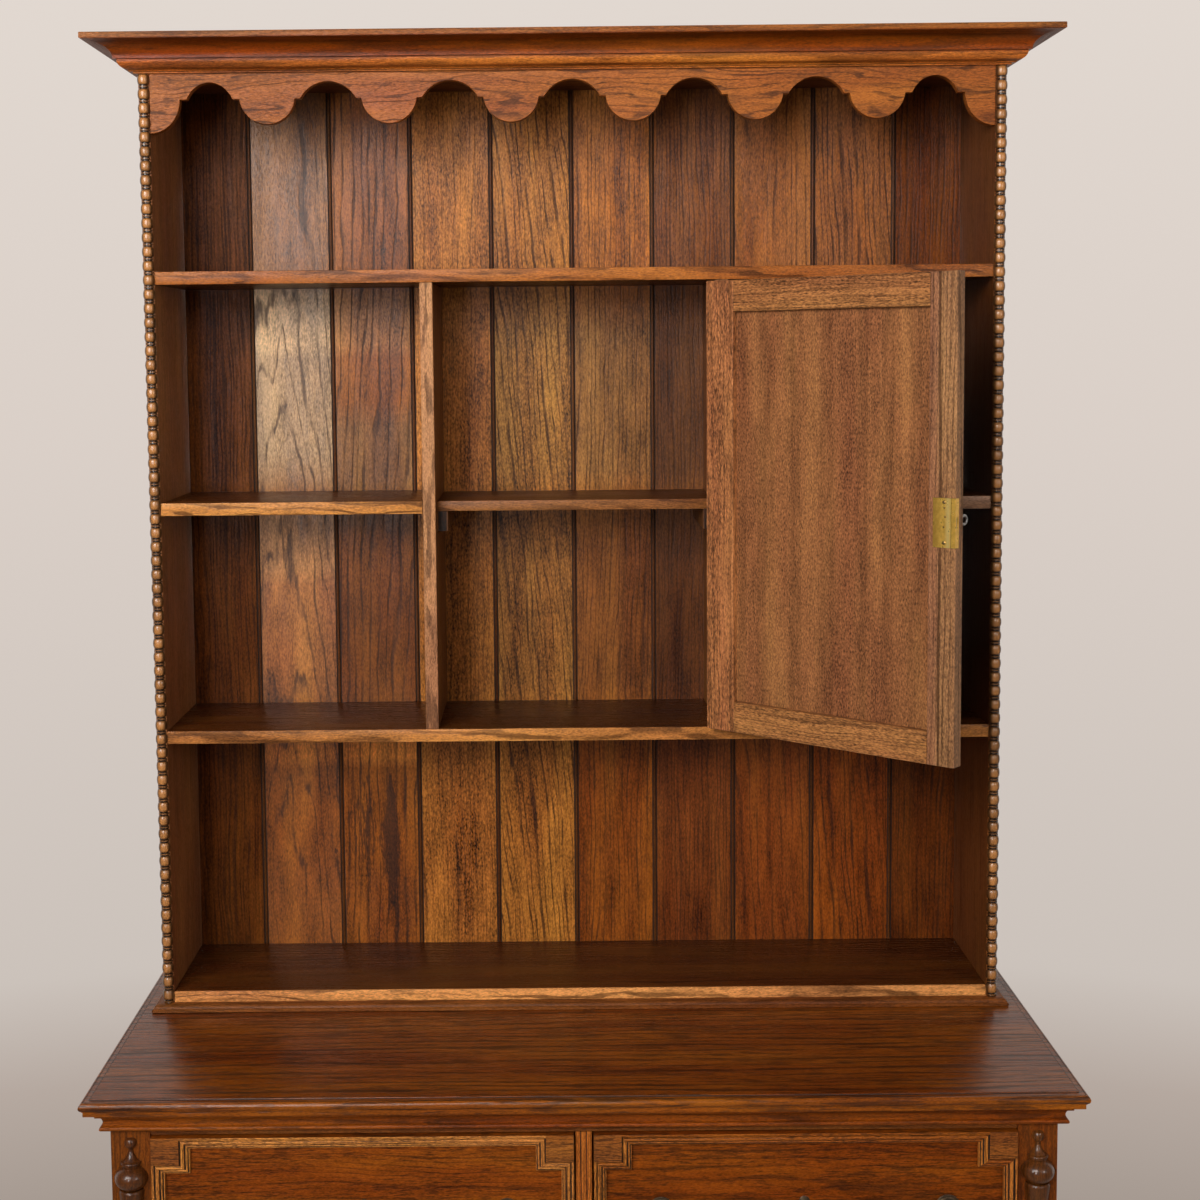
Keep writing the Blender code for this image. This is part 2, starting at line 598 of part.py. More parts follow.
def back_boards():
    """Matchboarding: a quirked bead is run beside each joint."""
    inner = RACK_HALF - GAP
    outline = [(-inner, RACK_BACK), (-inner, BOARDS_FRONT)]
    for i in range(BOARD_JOINTS):
        x = (i - (BOARD_JOINTS - 1) / 2) * BOARD_PITCH
        for edge in (x - BOARD_BEAD / 2 - BOARD_QUIRK, x + BOARD_BEAD / 2):
            floor = (edge + BOARD_QUIRK / 2, BOARDS_FRONT + BOARD_QUIRK)
            outline += [(edge, BOARDS_FRONT), floor, (edge + BOARD_QUIRK, BOARDS_FRONT)]
    outline += [(inner, BOARDS_FRONT), (inner, RACK_BACK)]
    low = BASE_HEIGHT + GAP
    put("back_boards", prism(outline, "z", low, BASE_HEIGHT + RACK_TOP_Z + SHELF), OAK)


def frieze_outline():
    """The scalloped lower edge, left to right: quarter lobes, arches and pendant lobes between shoulders."""
    level = CORNICE_Z
    shoulder = level - FRIEZE_SHOULDER
    lobe_drop = FRIEZE_LOBE - FRIEZE_SHOULDER
    rise = FRIEZE_SHOULDER - FRIEZE_APEX
    half = FRIEZE_PITCH * FRIEZE_ARCH_SHARE
    radius_lobe = (half**2 + lobe_drop**2) / (2 * lobe_drop)
    radius_arch = (half**2 + rise**2) / (2 * rise)
    spread_lobe = 180 / pi * asin(half / radius_lobe)
    spread_arch = 180 / pi * asin(half / radius_arch)
    end = RACK_HALF - GAP
    end_half = FRIEZE_END_WIDTH
    end_drop = FRIEZE_END - FRIEZE_SHOULDER
    last = (FRIEZE_LOBES - 1) / 2 * FRIEZE_PITCH
    points = []
    for x, y in arc((0, 0), 1, 270, 360, 5):
        points.append((-end + end_half * x, shoulder + end_drop * y))
    first_arch = (-end + end_half + FRIEZE_STEP, -last - half - FRIEZE_STEP)
    middle = sum(first_arch) / 2
    share = (first_arch[1] - first_arch[0]) / (2 * half)
    sweep = arc((0, shoulder + rise - radius_arch), radius_arch, 90 + spread_arch, 90 - spread_arch, 8)
    points += [(middle + share * x, z) for x, z in sweep]
    for i in range(FRIEZE_LOBES):
        x = i * FRIEZE_PITCH - last
        centre = (x, shoulder - lobe_drop + radius_lobe)
        points += arc(centre, radius_lobe, 270 - spread_lobe, 270 + spread_lobe, 9)
        if i < FRIEZE_LOBES - 1:
            points += [(x + FRIEZE_PITCH / 2 + a, z) for a, z in sweep]
    points += [(-middle + share * x, z) for x, z in sweep]
    for x, y in arc((0, 0), 1, 180, 270, 5):
        points.append((end + end_half * x, shoulder + end_drop * y))
    return points


def frieze():
    top = BASE_HEIGHT + RACK_TOP_Z + SHELF
    outline = [(x, BASE_HEIGHT + z) for x, z in frieze_outline()]
    outline += [(RACK_HALF - GAP, top), (-RACK_HALF + GAP, top)]
    put("frieze", prism(outline, "y", RACK_FRONT, RACK_FRONT + FRIEZE), OAK)


def cornice():
    """Fillet, ovolo, cove and fascia, from the foot up."""
    low = BASE_HEIGHT + CORNICE_Z
    top = low + CORNICE_HEIGHT
    fascia_foot = top - CORNICE_FASCIA
    cove_foot = fascia_foot - CORNICE_COVE_DROP
    cove = CORNICE_OUT - CORNICE_STEP - CORNICE_COVE_IN
    ovolo_foot = cove_foot - CORNICE_STEP - CORNICE_OVOLO_RISE
    fillet = CORNICE_FOOT / 2
    profile = [(GAP, low), (fillet, low), (fillet + CORNICE_STEP, ovolo_foot - CORNICE_STEP)]
    profile.append((CORNICE_FOOT, ovolo_foot - CORNICE_STEP))
    for t in (pi / 8, pi / 4, pi / 2.6, pi / 2):
        swell, lift = CORNICE_OVOLO_OUT * sin(t), CORNICE_OVOLO_RISE * (1 - cos(t))
        profile.append((CORNICE_FOOT + swell, ovolo_foot + lift))
    profile.append((CORNICE_COVE_IN, cove_foot - CORNICE_STEP))
    for i in range(6):
        t = pi / 2 * i / 5
        profile.append((CORNICE_COVE_IN + cove * (1 - cos(t)), cove_foot + CORNICE_COVE_DROP * sin(t)))
    profile += [(CORNICE_OUT, fascia_foot), (CORNICE_OUT, top), (GAP, top)]
    put("cornice", mitred_run(profile, RACK_OUT, RACK_FRONT, RACK_BACK), OAK)


def rack_plinth():
    low = BASE_HEIGHT + GAP
    rise = PLINTH_HEIGHT - GAP
    profile = [(GAP, low), (PLINTH_OUT, low), (PLINTH_OUT, low + 0.35 * rise)]
    for t in (0.2, 0.7, 1.2):
        profile.append((0.29 * PLINTH_OUT + 0.57 * PLINTH_OUT * cos(t), low + rise * (0.45 + 0.55 * sin(t))))
    profile += [(GAP, low + rise)]
    put("rack_plinth", mitred_run(profile, RACK_OUT, RACK_FRONT, RACK_BACK), OAK)


def bobbin_strip(name, side):
    """A split bobbin turning on the front edge of a rack side."""
    foot = BASE_HEIGHT + PLINTH_HEIGHT + GAP
    top = BASE_HEIGHT + CORNICE_Z - GAP
    pitch = (top - foot) / BOBBIN_COUNT
    profile = []
    for bead in range(BOBBIN_COUNT):
        for u in (-1.0, -0.62, 0.0, 0.62):
            radius = BOBBIN_RADIUS * (0.5 + 0.5 * sqrt(1 - u * u))
            profile.append((foot + (bead + 0.5 + u / 2) * pitch, radius))
    profile.append((top, BOBBIN_RADIUS * 0.5))
    centre = (side * (RACK_HALF + RACK_SIDE / 2), RACK_FRONT - GAP)
    put(name, split_turned(profile, centre, 4), DARK_OAK, smooth=60)


# Cupboard door, drawn closed and turned open by its parent
def lock_middle():
    """The bolt's middle in the closed pose, at the door's free edge."""
    return Vector((-DIVIDER_IN + DOOR_PLAY, RACK_FRONT + DOOR - LOCK_DEPTH / 2, BASE_HEIGHT + LOCK_Z))


def door_frame(holder):
    free = -DIVIDER_IN + DOOR_PLAY
    hinge = DIVIDER_IN - HINGE_PLAY
    low = BASE_HEIGHT + LOWER_SHELF_Z + DOOR_PLAY
    high = BASE_HEIGHT + TOP_SHELF_Z - SHELF - DOOR_PLAY
    front, rear = RACK_FRONT, RACK_FRONT + DOOR
    put("door_hinge_stile", block((hinge - HINGE_STILE, front, low), (hinge, rear, high)), OAK, holder, PIVOT)
    put("door_lock_stile", lock_stile((free, front, low), (free + LOCK_STILE, rear, high)), OAK, holder, PIVOT)
    x0, x1 = free + LOCK_STILE + GAP, hinge - HINGE_STILE - GAP
    put("door_bottom_rail", block((x0, front, low), (x1, rear, low + DOOR_RAIL)), OAK, holder, PIVOT)
    put("door_top_rail", block((x0, front, high - DOOR_RAIL), (x1, rear, high)), OAK, holder, PIVOT)
    y = rear - PANEL_SUNK - DOOR_PANEL
    panel = block((x0, y, low + DOOR_RAIL + GAP), (x1, y + DOOR_PANEL, high - DOOR_RAIL - GAP), 0.0)
    put("door_panel", panel, OAK, holder, PIVOT)


def lock_stile(low, high):
    """The free stile with a housing for the lock, its face plate and the keyhole."""
    mid = lock_middle()
    free = low[0]
    up, down = mid.z + LOCK_HEIGHT / 2 + GAP, mid.z - LOCK_HEIGHT / 2 - GAP
    housing = block((free - 0.002, high[1] - LOCK_DEPTH - GAP, down),
                    (free + LOCK_WIDTH + GAP, high[1] + 0.002, up), 0.0)
    keyhole = turned([(low[1] - 0.002, KEY_HOLE), (high[1] + 0.002, KEY_HOLE)],
                     (free + KEY_BACKSET, 0.0, mid.z), 12, "y")
    return combined(block(low, high), [housing, keyhole], "DIFFERENCE")


def lock(holder):
    """The flush box lock: a case with a bolt channel and a blind hole for the key."""
    mid = lock_middle()
    free = mid.x
    rear = RACK_FRONT + DOOR
    case = block((free, rear - LOCK_DEPTH, mid.z - LOCK_HEIGHT / 2),
                 (free + LOCK_WIDTH, rear + LOCK_PROUD, mid.z + LOCK_HEIGHT / 2), 0.0)
    half_bolt, half_thick = BOLT_HEIGHT / 2 + GAP, BOLT_THICK / 2 + GAP
    channel = block((free - 0.002, mid.y - half_thick, mid.z - half_bolt),
                    (free + BOLT_LENGTH + GAP, mid.y + half_thick, mid.z + half_bolt), 0.0)
    put("lock_case", combined(case, [channel, key_way(mid, rear)], "DIFFERENCE"), BRASS, holder, PIVOT)
    bolt = block((free + LOCK_FACE, mid.y - BOLT_THICK / 2, mid.z - BOLT_HEIGHT / 2),
                 (free + BOLT_LENGTH, mid.y + BOLT_THICK / 2, mid.z + BOLT_HEIGHT / 2), 0.0)
    slot = block((free + KEY_BACKSET - KEY_HOLE, mid.y - BOLT_THICK, mid.z - KEY_HOLE),
                 (free + KEY_BACKSET + KEY_HOLE + BOLT_THROW, mid.y + BOLT_THICK, mid.z + KEY_HOLE), 0.0)
    put("lock_bolt", combined(bolt, [slot], "DIFFERENCE"), STEEL, holder, PIVOT)


def key_way(mid, rear):
    """The key's hole in the lock case, from the door's outer side."""
    return turned([(rear - LOCK_DEPTH - 0.002, KEY_HOLE), (rear - 0.0012, KEY_HOLE)],
                  (mid.x + KEY_BACKSET, 0.0, mid.z), 12, "y")


def key(holder):
    """A steel key standing in the lock from the outer face."""
    mid = lock_middle()
    axis = Vector((mid.x + KEY_BACKSET, 0.0, mid.z))
    tip = RACK_FRONT + DOOR - 0.003
    neck = RACK_FRONT - KEY_OUT - BOW_WIRE / 3
    shank = turned([(tip, KEY_SHANK * 0.8), (tip - 0.001, KEY_SHANK), (neck, KEY_SHANK)], axis, 8, "y")
    centre = axis + Vector((0.0, RACK_FRONT - KEY_OUT - BOW_RADIUS, 0.0))
    bow = bmesh.new()
    rings, sides = 16, 6
    grid = []
    for i in range(rings):
        t = 2 * pi * i / rings
        ring = []
        for j in range(sides):
            p = 2 * pi * j / sides
            reach = BOW_RADIUS + BOW_WIRE * cos(p)
            ring.append(bow.verts.new(centre + Vector((BOW_WIRE * sin(p), reach * cos(t), reach * sin(t)))))
        grid.append(ring)
    for i in range(rings):
        for j in range(sides):
            a, b = grid[i], grid[(i + 1) % rings]
            k = (j + 1) % sides
            bow.faces.new((a[j], a[k], b[k], b[j]))
    put("key", combined(shank, [outward(bow)], "UNION"), STEEL, holder, axis + Vector((0, RACK_FRONT, 0)))


def hinge(word, low, holder):
    """A butt hinge: the frame leaf carries the middle knuckle and pin, the door leaf the outer two."""
    third = HINGE_HEIGHT / 3
    axis = (PIVOT.x, PIVOT.y, 0.0)
    top = low + HINGE_HEIGHT
    frame_x = DIVIDER_IN - GAP
    knuckle = turned([(low + third + GAP, KNUCKLE), (top - third - GAP, KNUCKLE)], axis, 12)
    pin = turned([(low, PIN), (top, PIN)], axis, 8)
    wing_foot, wing_top = low + third + GAP, top - third - GAP
    wing = block((frame_x - LEAF, PIVOT.y, wing_foot), (frame_x, RACK_FRONT + LEAF_WIDTH, wing_top), 0.0)
    put(f"hinge_{word}_frame_leaf", combined(knuckle, [pin, wing], "UNION"), BRASS)
    door_x = DIVIDER_IN - HINGE_PLAY + GAP
    tubes = []
    for foot in (low, top - third):
        tubes.append(turned([(foot, KNUCKLE), (foot + third, KNUCKLE)], axis, 12))
    plate = block((door_x, RACK_FRONT + SOFT, low), (door_x + LEAF, RACK_FRONT + LEAF_WIDTH, top), 0.0)
    arms = []
    for foot in (low, top - third):
        arms.append(block((door_x, PIVOT.y, foot), (door_x + LEAF, RACK_FRONT + 2 * SOFT, foot + third), 0.0))
    leaf = bmesh.new()
    leaf.from_mesh(combined(plate, [*arms, *tubes], "UNION"))
    bore = turned([(low - 0.002, PIN_HOLE), (top + 0.002, PIN_HOLE)], axis, 8)
    put(f"hinge_{word}_door_leaf", combined(leaf, [bore], "DIFFERENCE"), BRASS, holder, PIVOT)


def door():
    holder = empty("door", PIVOT, DOOR_OPEN)
    door_frame(holder)
    lock(holder)
    key(holder)
    hinge("lower", BASE_HEIGHT + LOWER_SHELF_Z + HINGE_INSET - HINGE_HEIGHT / 2, holder)
    hinge("upper", BASE_HEIGHT + TOP_SHELF_Z - SHELF - HINGE_INSET - HINGE_HEIGHT / 2, holder)


base_top()
under_top_moulding()
carcass()
pot_board_and_stretchers()
for sign, hand in ((-1, "left"), (1, "right")):
    front_leg(f"front_leg_{hand}", sign)
    back_leg(f"back_leg_{hand}", sign)
    side_panel(f"side_panel_{hand}", sign)
    split_baluster(f"split_baluster_{hand}", sign)
    drawer(sign, hand)
    divider(f"divider_{hand}", sign)
    bobbin_strip(f"bobbin_strip_{hand}", sign)
rack_boards()
back_boards()
frieze()
cornice()
rack_plinth()
door()
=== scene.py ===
"""The look of the Welsh dresser: stained oak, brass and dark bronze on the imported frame."""

from math import asin, cos, degrees, pi, radians, sin, sqrt

import bmesh
import bpy
from mathutils import Matrix, Vector


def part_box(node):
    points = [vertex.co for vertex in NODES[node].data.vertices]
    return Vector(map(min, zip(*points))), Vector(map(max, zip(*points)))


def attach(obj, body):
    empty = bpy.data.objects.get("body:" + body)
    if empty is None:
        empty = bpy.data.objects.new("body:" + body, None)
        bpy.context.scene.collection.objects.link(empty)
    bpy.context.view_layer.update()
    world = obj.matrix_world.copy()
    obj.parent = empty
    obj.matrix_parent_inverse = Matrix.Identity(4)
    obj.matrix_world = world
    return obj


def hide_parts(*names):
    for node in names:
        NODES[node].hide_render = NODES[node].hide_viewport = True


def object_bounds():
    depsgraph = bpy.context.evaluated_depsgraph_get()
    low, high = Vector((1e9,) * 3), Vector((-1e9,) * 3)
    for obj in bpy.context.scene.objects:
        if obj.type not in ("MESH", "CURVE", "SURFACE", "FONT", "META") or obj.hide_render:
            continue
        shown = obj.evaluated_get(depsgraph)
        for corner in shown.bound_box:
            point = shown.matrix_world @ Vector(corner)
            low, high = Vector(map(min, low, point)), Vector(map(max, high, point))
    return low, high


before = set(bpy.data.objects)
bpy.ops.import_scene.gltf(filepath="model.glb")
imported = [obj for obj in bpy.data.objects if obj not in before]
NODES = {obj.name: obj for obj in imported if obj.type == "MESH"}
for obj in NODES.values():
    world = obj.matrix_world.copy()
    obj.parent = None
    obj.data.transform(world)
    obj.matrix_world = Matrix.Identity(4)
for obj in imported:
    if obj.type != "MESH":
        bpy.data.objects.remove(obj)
CAD_BOX = [list(corner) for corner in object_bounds()]

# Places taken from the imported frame
TOP_LOW, TOP_HIGH = (Vector(corner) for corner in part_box("base_top"))
BASE_HEIGHT = TOP_HIGH.z
SIDE_LOW, SIDE_HIGH = (Vector(corner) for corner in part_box("rack_side_right"))
BOARDS_LOW, BOARDS_HIGH = (Vector(corner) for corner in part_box("back_boards"))
RACK_HALF, RACK_OUT = SIDE_LOW.x, SIDE_HIGH.x
RACK_FRONT, RACK_BACK = SIDE_LOW.y, SIDE_HIGH.y
BOARDS_FRONT = BOARDS_LOW.y
CORNICE_LOW, CORNICE_HIGH = (Vector(corner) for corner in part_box("cornice"))
LEG_LOW, LEG_HIGH = (Vector(corner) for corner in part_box("front_leg_right"))
CARCASS_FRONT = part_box("top_rail")[0][1]
CARCASS_HALF = LEG_HIGH.x
CARCASS_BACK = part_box("back_leg_right")[1][1]

# Sizes of the mouldings and turnings
BOARD_PITCH = 0.1159
BOARD_JOINTS = 9
BEAD = 0.0019
QUIRK = 0.0016
BOBBINS = 67
BOBBIN_RADIUS = 0.0080
FRIEZE_PITCH = 0.16168
FRIEZE_LOBES = 6
DOOR_TURN = radians(138.0)
DOOR_PIVOT = Vector((0.1879, 0.0457, 0.0))
GAP = 0.0003


# Camera, solved from measured points of the photograph
def add_camera():
    yaw, pitch, roll = -0.0041, -0.0833, -0.0098
    ahead = Vector((sin(yaw) * cos(pitch), cos(yaw) * cos(pitch), sin(pitch)))
    level = Vector((cos(yaw), -sin(yaw), 0.0))
    above = level.cross(ahead)
    right = cos(roll) * level + sin(roll) * above
    up = -sin(roll) * level + cos(roll) * above
    data = bpy.data.cameras.new("camera")
    data.sensor_width = 36.0
    data.lens = 53.56
    data.shift_x = 0.04494
    data.shift_y = -0.0816
    camera = bpy.data.objects.new("camera", data)
    camera.matrix_world = Matrix.Translation((-0.0299, -2.3498, 1.7094)) @ Matrix(
        (right, up, -ahead)).transposed().to_4x4()
    bpy.context.collection.objects.link(camera)
    bpy.context.scene.camera = camera


def add_lamp(name, place, target, size, power, colour, spread=180.0):
    data = bpy.data.lights.new(name, "AREA")
    data.shape = "RECTANGLE"
    data.size, data.size_y = size
    data.energy = power
    data.color = colour
    data.spread = radians(spread)
    lamp = bpy.data.objects.new(name, data)
    lamp.location = place
    lamp.rotation_euler = (Vector(target) - Vector(place)).to_track_quat("-Z", "Y").to_euler()
    bpy.context.collection.objects.link(lamp)


def add_world():
    """Even studio light; the pale wall stands behind the object, for the camera and for polished surfaces."""
    world = bpy.data.worlds.new("studio")
    world.use_nodes = True
    nodes, links = world.node_tree.nodes, world.node_tree.links
    light = nodes["Background"]
    light.inputs["Color"].default_value = (1.0, 0.965, 0.93, 1.0)
    light.inputs["Strength"].default_value = 0.10
    ahead = nodes.new("ShaderNodeSeparateXYZ")
    links.new(nodes.new("ShaderNodeTexCoord").outputs["Generated"], ahead.inputs[0])
    tone = nodes.new("ShaderNodeValToRGB")
    tones = ((0.060, (0.355, 0.300, 0.262)), (0.125, (0.462, 0.392, 0.348)), (0.177, (0.600, 0.540, 0.495)),
             (0.450, (0.702, 0.626, 0.575)), (0.700, (0.758, 0.688, 0.634)))
    while len(tone.color_ramp.elements) < len(tones):
        tone.color_ramp.elements.new(0.5)
    for stop, (place, colour) in zip(tone.color_ramp.elements, tones):
        stop.position = place
        stop.color = (*colour, 1.0)
    level = nodes.new("ShaderNodeMath")
    level.operation = "ADD"
    level.inputs[1].default_value = 0.5
    links.new(ahead.outputs[2], level.inputs[0])
    links.new(level.outputs[0], tone.inputs[0])
    wall = nodes.new("ShaderNodeBackground")
    links.new(tone.outputs[0], wall.inputs["Color"])
    path = nodes.new("ShaderNodeLightPath")
    behind = nodes.new("ShaderNodeMath")
    behind.operation = "GREATER_THAN"
    behind.inputs[1].default_value = 0.2
    links.new(ahead.outputs[1], behind.inputs[0])
    mirrored = nodes.new("ShaderNodeMath")
    mirrored.operation = "MULTIPLY"
    links.new(behind.outputs[0], mirrored.inputs[0])
    links.new(path.outputs["Is Glossy Ray"], mirrored.inputs[1])
    seen = nodes.new("ShaderNodeMath")
    seen.operation = "MAXIMUM"
    links.new(path.outputs["Is Camera Ray"], seen.inputs[0])
    links.new(mirrored.outputs[0], seen.inputs[1])
    pick = nodes.new("ShaderNodeMixShader")
    links.new(seen.outputs[0], pick.inputs[0])
    links.new(light.outputs[0], pick.inputs[1])
    links.new(wall.outputs[0], pick.inputs[2])
    links.new(pick.outputs[0], nodes["World Output"].inputs[0])
    bpy.context.scene.world = world
    bpy.context.scene.view_settings.view_transform = "Standard"


# Materials
class Paint:
    """A node tree written from the texture coordinates to the shader."""

    def __init__(self, name):
        self.material = bpy.data.materials.new(name)
        self.material.use_nodes = True
        self.tree = self.material.node_tree
        self.shader = self.tree.nodes["Principled BSDF"]

    def feed(self, socket, value):
        if isinstance(value, bpy.types.NodeSocket):
            self.tree.links.new(value, socket)
        else:
            socket.default_value = value

    def add(self, kind, inputs=(), **settings):
        node = self.tree.nodes.new(kind)
        for key, value in settings.items():
            setattr(node, key, value)
        for key, value in dict(inputs).items():
            self.feed(node.inputs[key], value)
        return node

    def math(self, operation, a, b=0.0, c=0.0):
        return self.add("ShaderNodeMath", {0: a, 1: b, 2: c}, operation=operation).outputs[0]

    def vector(self, operation, a, b):
        return self.add("ShaderNodeVectorMath", {0: a, 1: b}, operation=operation).outputs[0]

    def place(self, turn=0.0):
        """Object coordinates, turned back into the closed door's frame where asked."""
        spot = self.add("ShaderNodeTexCoord").outputs["Object"]
        if turn:
            spot = self.add("ShaderNodeVectorRotate", {"Vector": spot, "Center": DOOR_PIVOT, "Angle": -turn},
                            rotation_type="Z_AXIS").outputs[0]
        return spot

    def noise(self, spot, stretch, detail=2.0, roughness=0.5):
        inputs = {"Vector": self.vector("MULTIPLY", spot, stretch), "Scale": 1.0, "Detail": detail,
                  "Roughness": roughness}
        return self.add("ShaderNodeTexNoise", inputs).outputs[0]

    def ramp(self, value, stops):
        node = self.add("ShaderNodeValToRGB", {0: value})
        band = node.color_ramp
        while len(band.elements) < len(stops):
            band.elements.new(0.5)
        for element, (position, level) in zip(band.elements, stops):
            element.position = position
            element.color = (level, level, level, 1.0)
        return node.outputs[0]

    def mix(self, factor, a, b, blend="MIX"):
        node = self.add("ShaderNodeMix", data_type="RGBA", blend_type=blend)
        for socket, value in zip((node.inputs[0], node.inputs[6], node.inputs[7]), (factor, a, b)):
            self.feed(socket, (*value, 1.0) if isinstance(value, tuple) else value)
        return node.outputs[2]

    def finish(self, colour, roughness, height, depth, strength=0.5):
        self.feed(self.shader.inputs["Base Color"], colour)
        self.feed(self.shader.inputs["Roughness"], roughness)
        bump = self.add("ShaderNodeBump", {"Height": height, "Distance": depth, "Strength": strength})
        self.feed(self.shader.inputs["Normal"], bump.outputs[0])
        return self.material


UMBER = (0.042, 0.0125, 0.0034)


def oak(name, lay, light, seed, pith, dark=UMBER, ring=0.0055, taper=0.03, figure=0.7, band=0.30, pores=0.45,
        mottle=0.5, rough=0.36, gloss=0.16, turn=0.0, edges=(), sway=0.02, jag=0.5, speck=(130.0, 760.0), blotch=None,
        streak=None, tooth=(1.3, 270.0, 820.0), coat=0.0):
    """Stained oak. lay orders the axes as along the grain, across the face and into the board; pith is the
    growth centre in the last two. band is the dark share of a growth ring, jag how far its edges comb out.
    edges lists zones of another tone as (axis, place, reach, colour), with a second limit before the colour
    where it needs one; blotch = (along, across, half length,
    half width) a dark figure, streak = (across, half width) a dark line along the grain, and tooth = (depth,
    along, across) the fine speckle of open pores."""
    p = Paint(name)
    xyz = p.add("ShaderNodeSeparateXYZ", {0: p.place(turn)})
    u, v, w = (xyz.outputs["xyz".index(axis)] for axis in lay)
    straight = p.add("ShaderNodeCombineXYZ", {0: u, 1: v, 2: w}).outputs[0]
    grain = p.vector("ADD", straight, (3.17 * seed, 1.71 * seed, 0.93 * seed))
    drift = p.noise(grain, (1.5, 8.0, 8.0), 3.0)
    ripple = p.noise(grain, (6.0, 34.0, 34.0), 3.0)
    across = p.math("SUBTRACT", v, pith[0])
    within = p.math("SUBTRACT", w, pith[1])
    radius = p.math("SQRT", p.math("ADD", p.math("MULTIPLY", across, across), p.math("MULTIPLY", within, within)))
    radius = p.math("MULTIPLY_ADD", u, taper, radius)
    radius = p.math("MULTIPLY_ADD", drift, sway * 2, radius)
    radius = p.math("MULTIPLY_ADD", ripple, sway * 0.8, radius)
    season = p.noise(p.add("ShaderNodeCombineXYZ", {0: radius, 1: 7.3 * seed}).outputs[0], (0.45 / ring, 1.0, 1.0), 1.0)
    phase = p.math("FRACT", p.math("ADD", p.math("DIVIDE", radius, ring), p.math("MULTIPLY", season, 2.2)))
    off_middle = p.math("ABSOLUTE", p.math("MULTIPLY_ADD", phase, 2.0, -1.0))
    comb = p.noise(grain, (55.0, 470.0, 470.0), 2.0, 0.6)
    wide = p.noise(grain, (1.6, 28.0, 28.0), 2.0)
    width = p.math("MULTIPLY_ADD", wide, 1.6 * band, 0.2 * band)
    width = p.math("MULTIPLY_ADD", comb, 0.7 * jag, p.math("SUBTRACT", width, 0.35 * jag))
    inside = p.math("MULTIPLY_ADD", p.math("SUBTRACT", width, off_middle), 6.0, 0.5)
    rings = p.ramp(inside, ((0.0, 0.0), (1.0, 1.0)))
    broken = p.ramp(p.noise(grain, (13.0, 130.0, 130.0), 2.0), ((0.36, 0.25), (0.58, 1.0)))
    rings = p.math("MULTIPLY", p.math("MULTIPLY", rings, figure), broken)
    fibre = p.noise(grain, (9.0, 330.0, 330.0), 3.0, 0.65)
    crowd = p.noise(grain, (6.0, 48.0, 48.0), 2.0)
    dash = p.math("MULTIPLY_ADD", crowd, 0.42, p.noise(grain, (speck[0], speck[1], speck[1]), 2.0, 0.6))
    flecks = p.math("MULTIPLY", p.ramp(dash, ((0.70, 0.0), (0.85, 1.0))), pores)
    shade = p.math("SUBTRACT", 1.0, p.math("MULTIPLY", p.math("SUBTRACT", 1.0, rings), p.math("SUBTRACT", 1.0, flecks)))
    if blotch is not None:
        along = p.math("DIVIDE", p.math("SUBTRACT", u, blotch[0]), blotch[2])
        aside = p.math("DIVIDE", p.math("SUBTRACT", v, blotch[1]), blotch[3])
        reach = p.math("SQRT", p.math("ADD", p.math("MULTIPLY", along, along), p.math("MULTIPLY", aside, aside)))
        ragged = p.math("ADD", p.math("MULTIPLY", comb, 1.5), p.math("MULTIPLY", wide, 3.2))
        spread = p.math("SUBTRACT", ragged, p.math("ADD", reach, 1.55))
        shade = p.math("MAXIMUM", shade, p.math("MULTIPLY", p.ramp(p.math("MULTIPLY", spread, 4.0), ((0.0, 0.0), (1.0, 1.0))), 0.85))
    if streak is not None:
        bend = p.math("MULTIPLY_ADD", drift, 0.02, streak[0] - 0.01)
        gap = p.math("DIVIDE", p.math("ABSOLUTE", p.math("SUBTRACT", v, bend)), streak[1])
        line = p.ramp(p.math("MULTIPLY_ADD", comb, 1.2, p.math("SUBTRACT", 0.4, gap)), ((0.0, 0.0), (0.5, 1.0)))
        shade = p.math("MAXIMUM", shade, p.math("MULTIPLY", line, 0.8))
    base = light
    # Zones of another base tone. Some are painted light and painted shade: on the back boards, the cornice, the lower
    # shelf, the right rack side and the dividers.
    for *limits, tone in edges:
        share = 1.0
        for axis, spot, reach in zip(*[iter(limits)] * 3):
            near = p.math("ABSOLUTE", p.math("SUBTRACT", xyz.outputs["xyz".index(axis)], spot))
            share = p.math("MULTIPLY", p.ramp(p.math("DIVIDE", near, reach), ((0.6, 1.0), (1.0, 0.0))), share)
        base = p.mix(share, base, tone)
    colour = p.mix(shade, base, dark)
    patch = p.noise(grain, (2.7, 20.0, 20.0), 3.0, 0.55)
    grit = p.noise(grain, (tooth[1], tooth[2], tooth[2]), 1.0)
    stain = p.noise(grain, (15.0, 48.0, 48.0), 3.0, 0.6)
    value = p.math("MULTIPLY_ADD", patch, 2.4 * mottle, p.math("MULTIPLY_ADD", fibre, 1.1 * mottle, 1.0 - 1.75 * mottle))
    value = p.math("MULTIPLY_ADD", stain, 1.6 * mottle, p.math("SUBTRACT", value, 0.8 * mottle))
    value = p.math("MULTIPLY_ADD", grit, -tooth[0], p.math("ADD", value, 0.5 * tooth[0]))
    hue = p.math("MULTIPLY_ADD", patch, 0.030, 0.485)
    colour = p.add("ShaderNodeHueSaturation", {"Color": colour, "Value": value, "Hue": hue}).outputs[0]
    polish = p.math("MULTIPLY_ADD", shade, 0.16, p.math("MULTIPLY_ADD", patch, 0.14, rough - 0.07))
    p.shader.inputs["Specular IOR Level"].default_value = gloss
    p.shader.inputs["Coat Weight"].default_value = coat
    p.shader.inputs["Coat Roughness"].default_value = 0.07
    height = p.math("MULTIPLY_ADD", fibre, 0.35, p.math("SUBTRACT", 1.0, shade))
    return p.finish(colour, polish, height, 0.0006, 0.4)


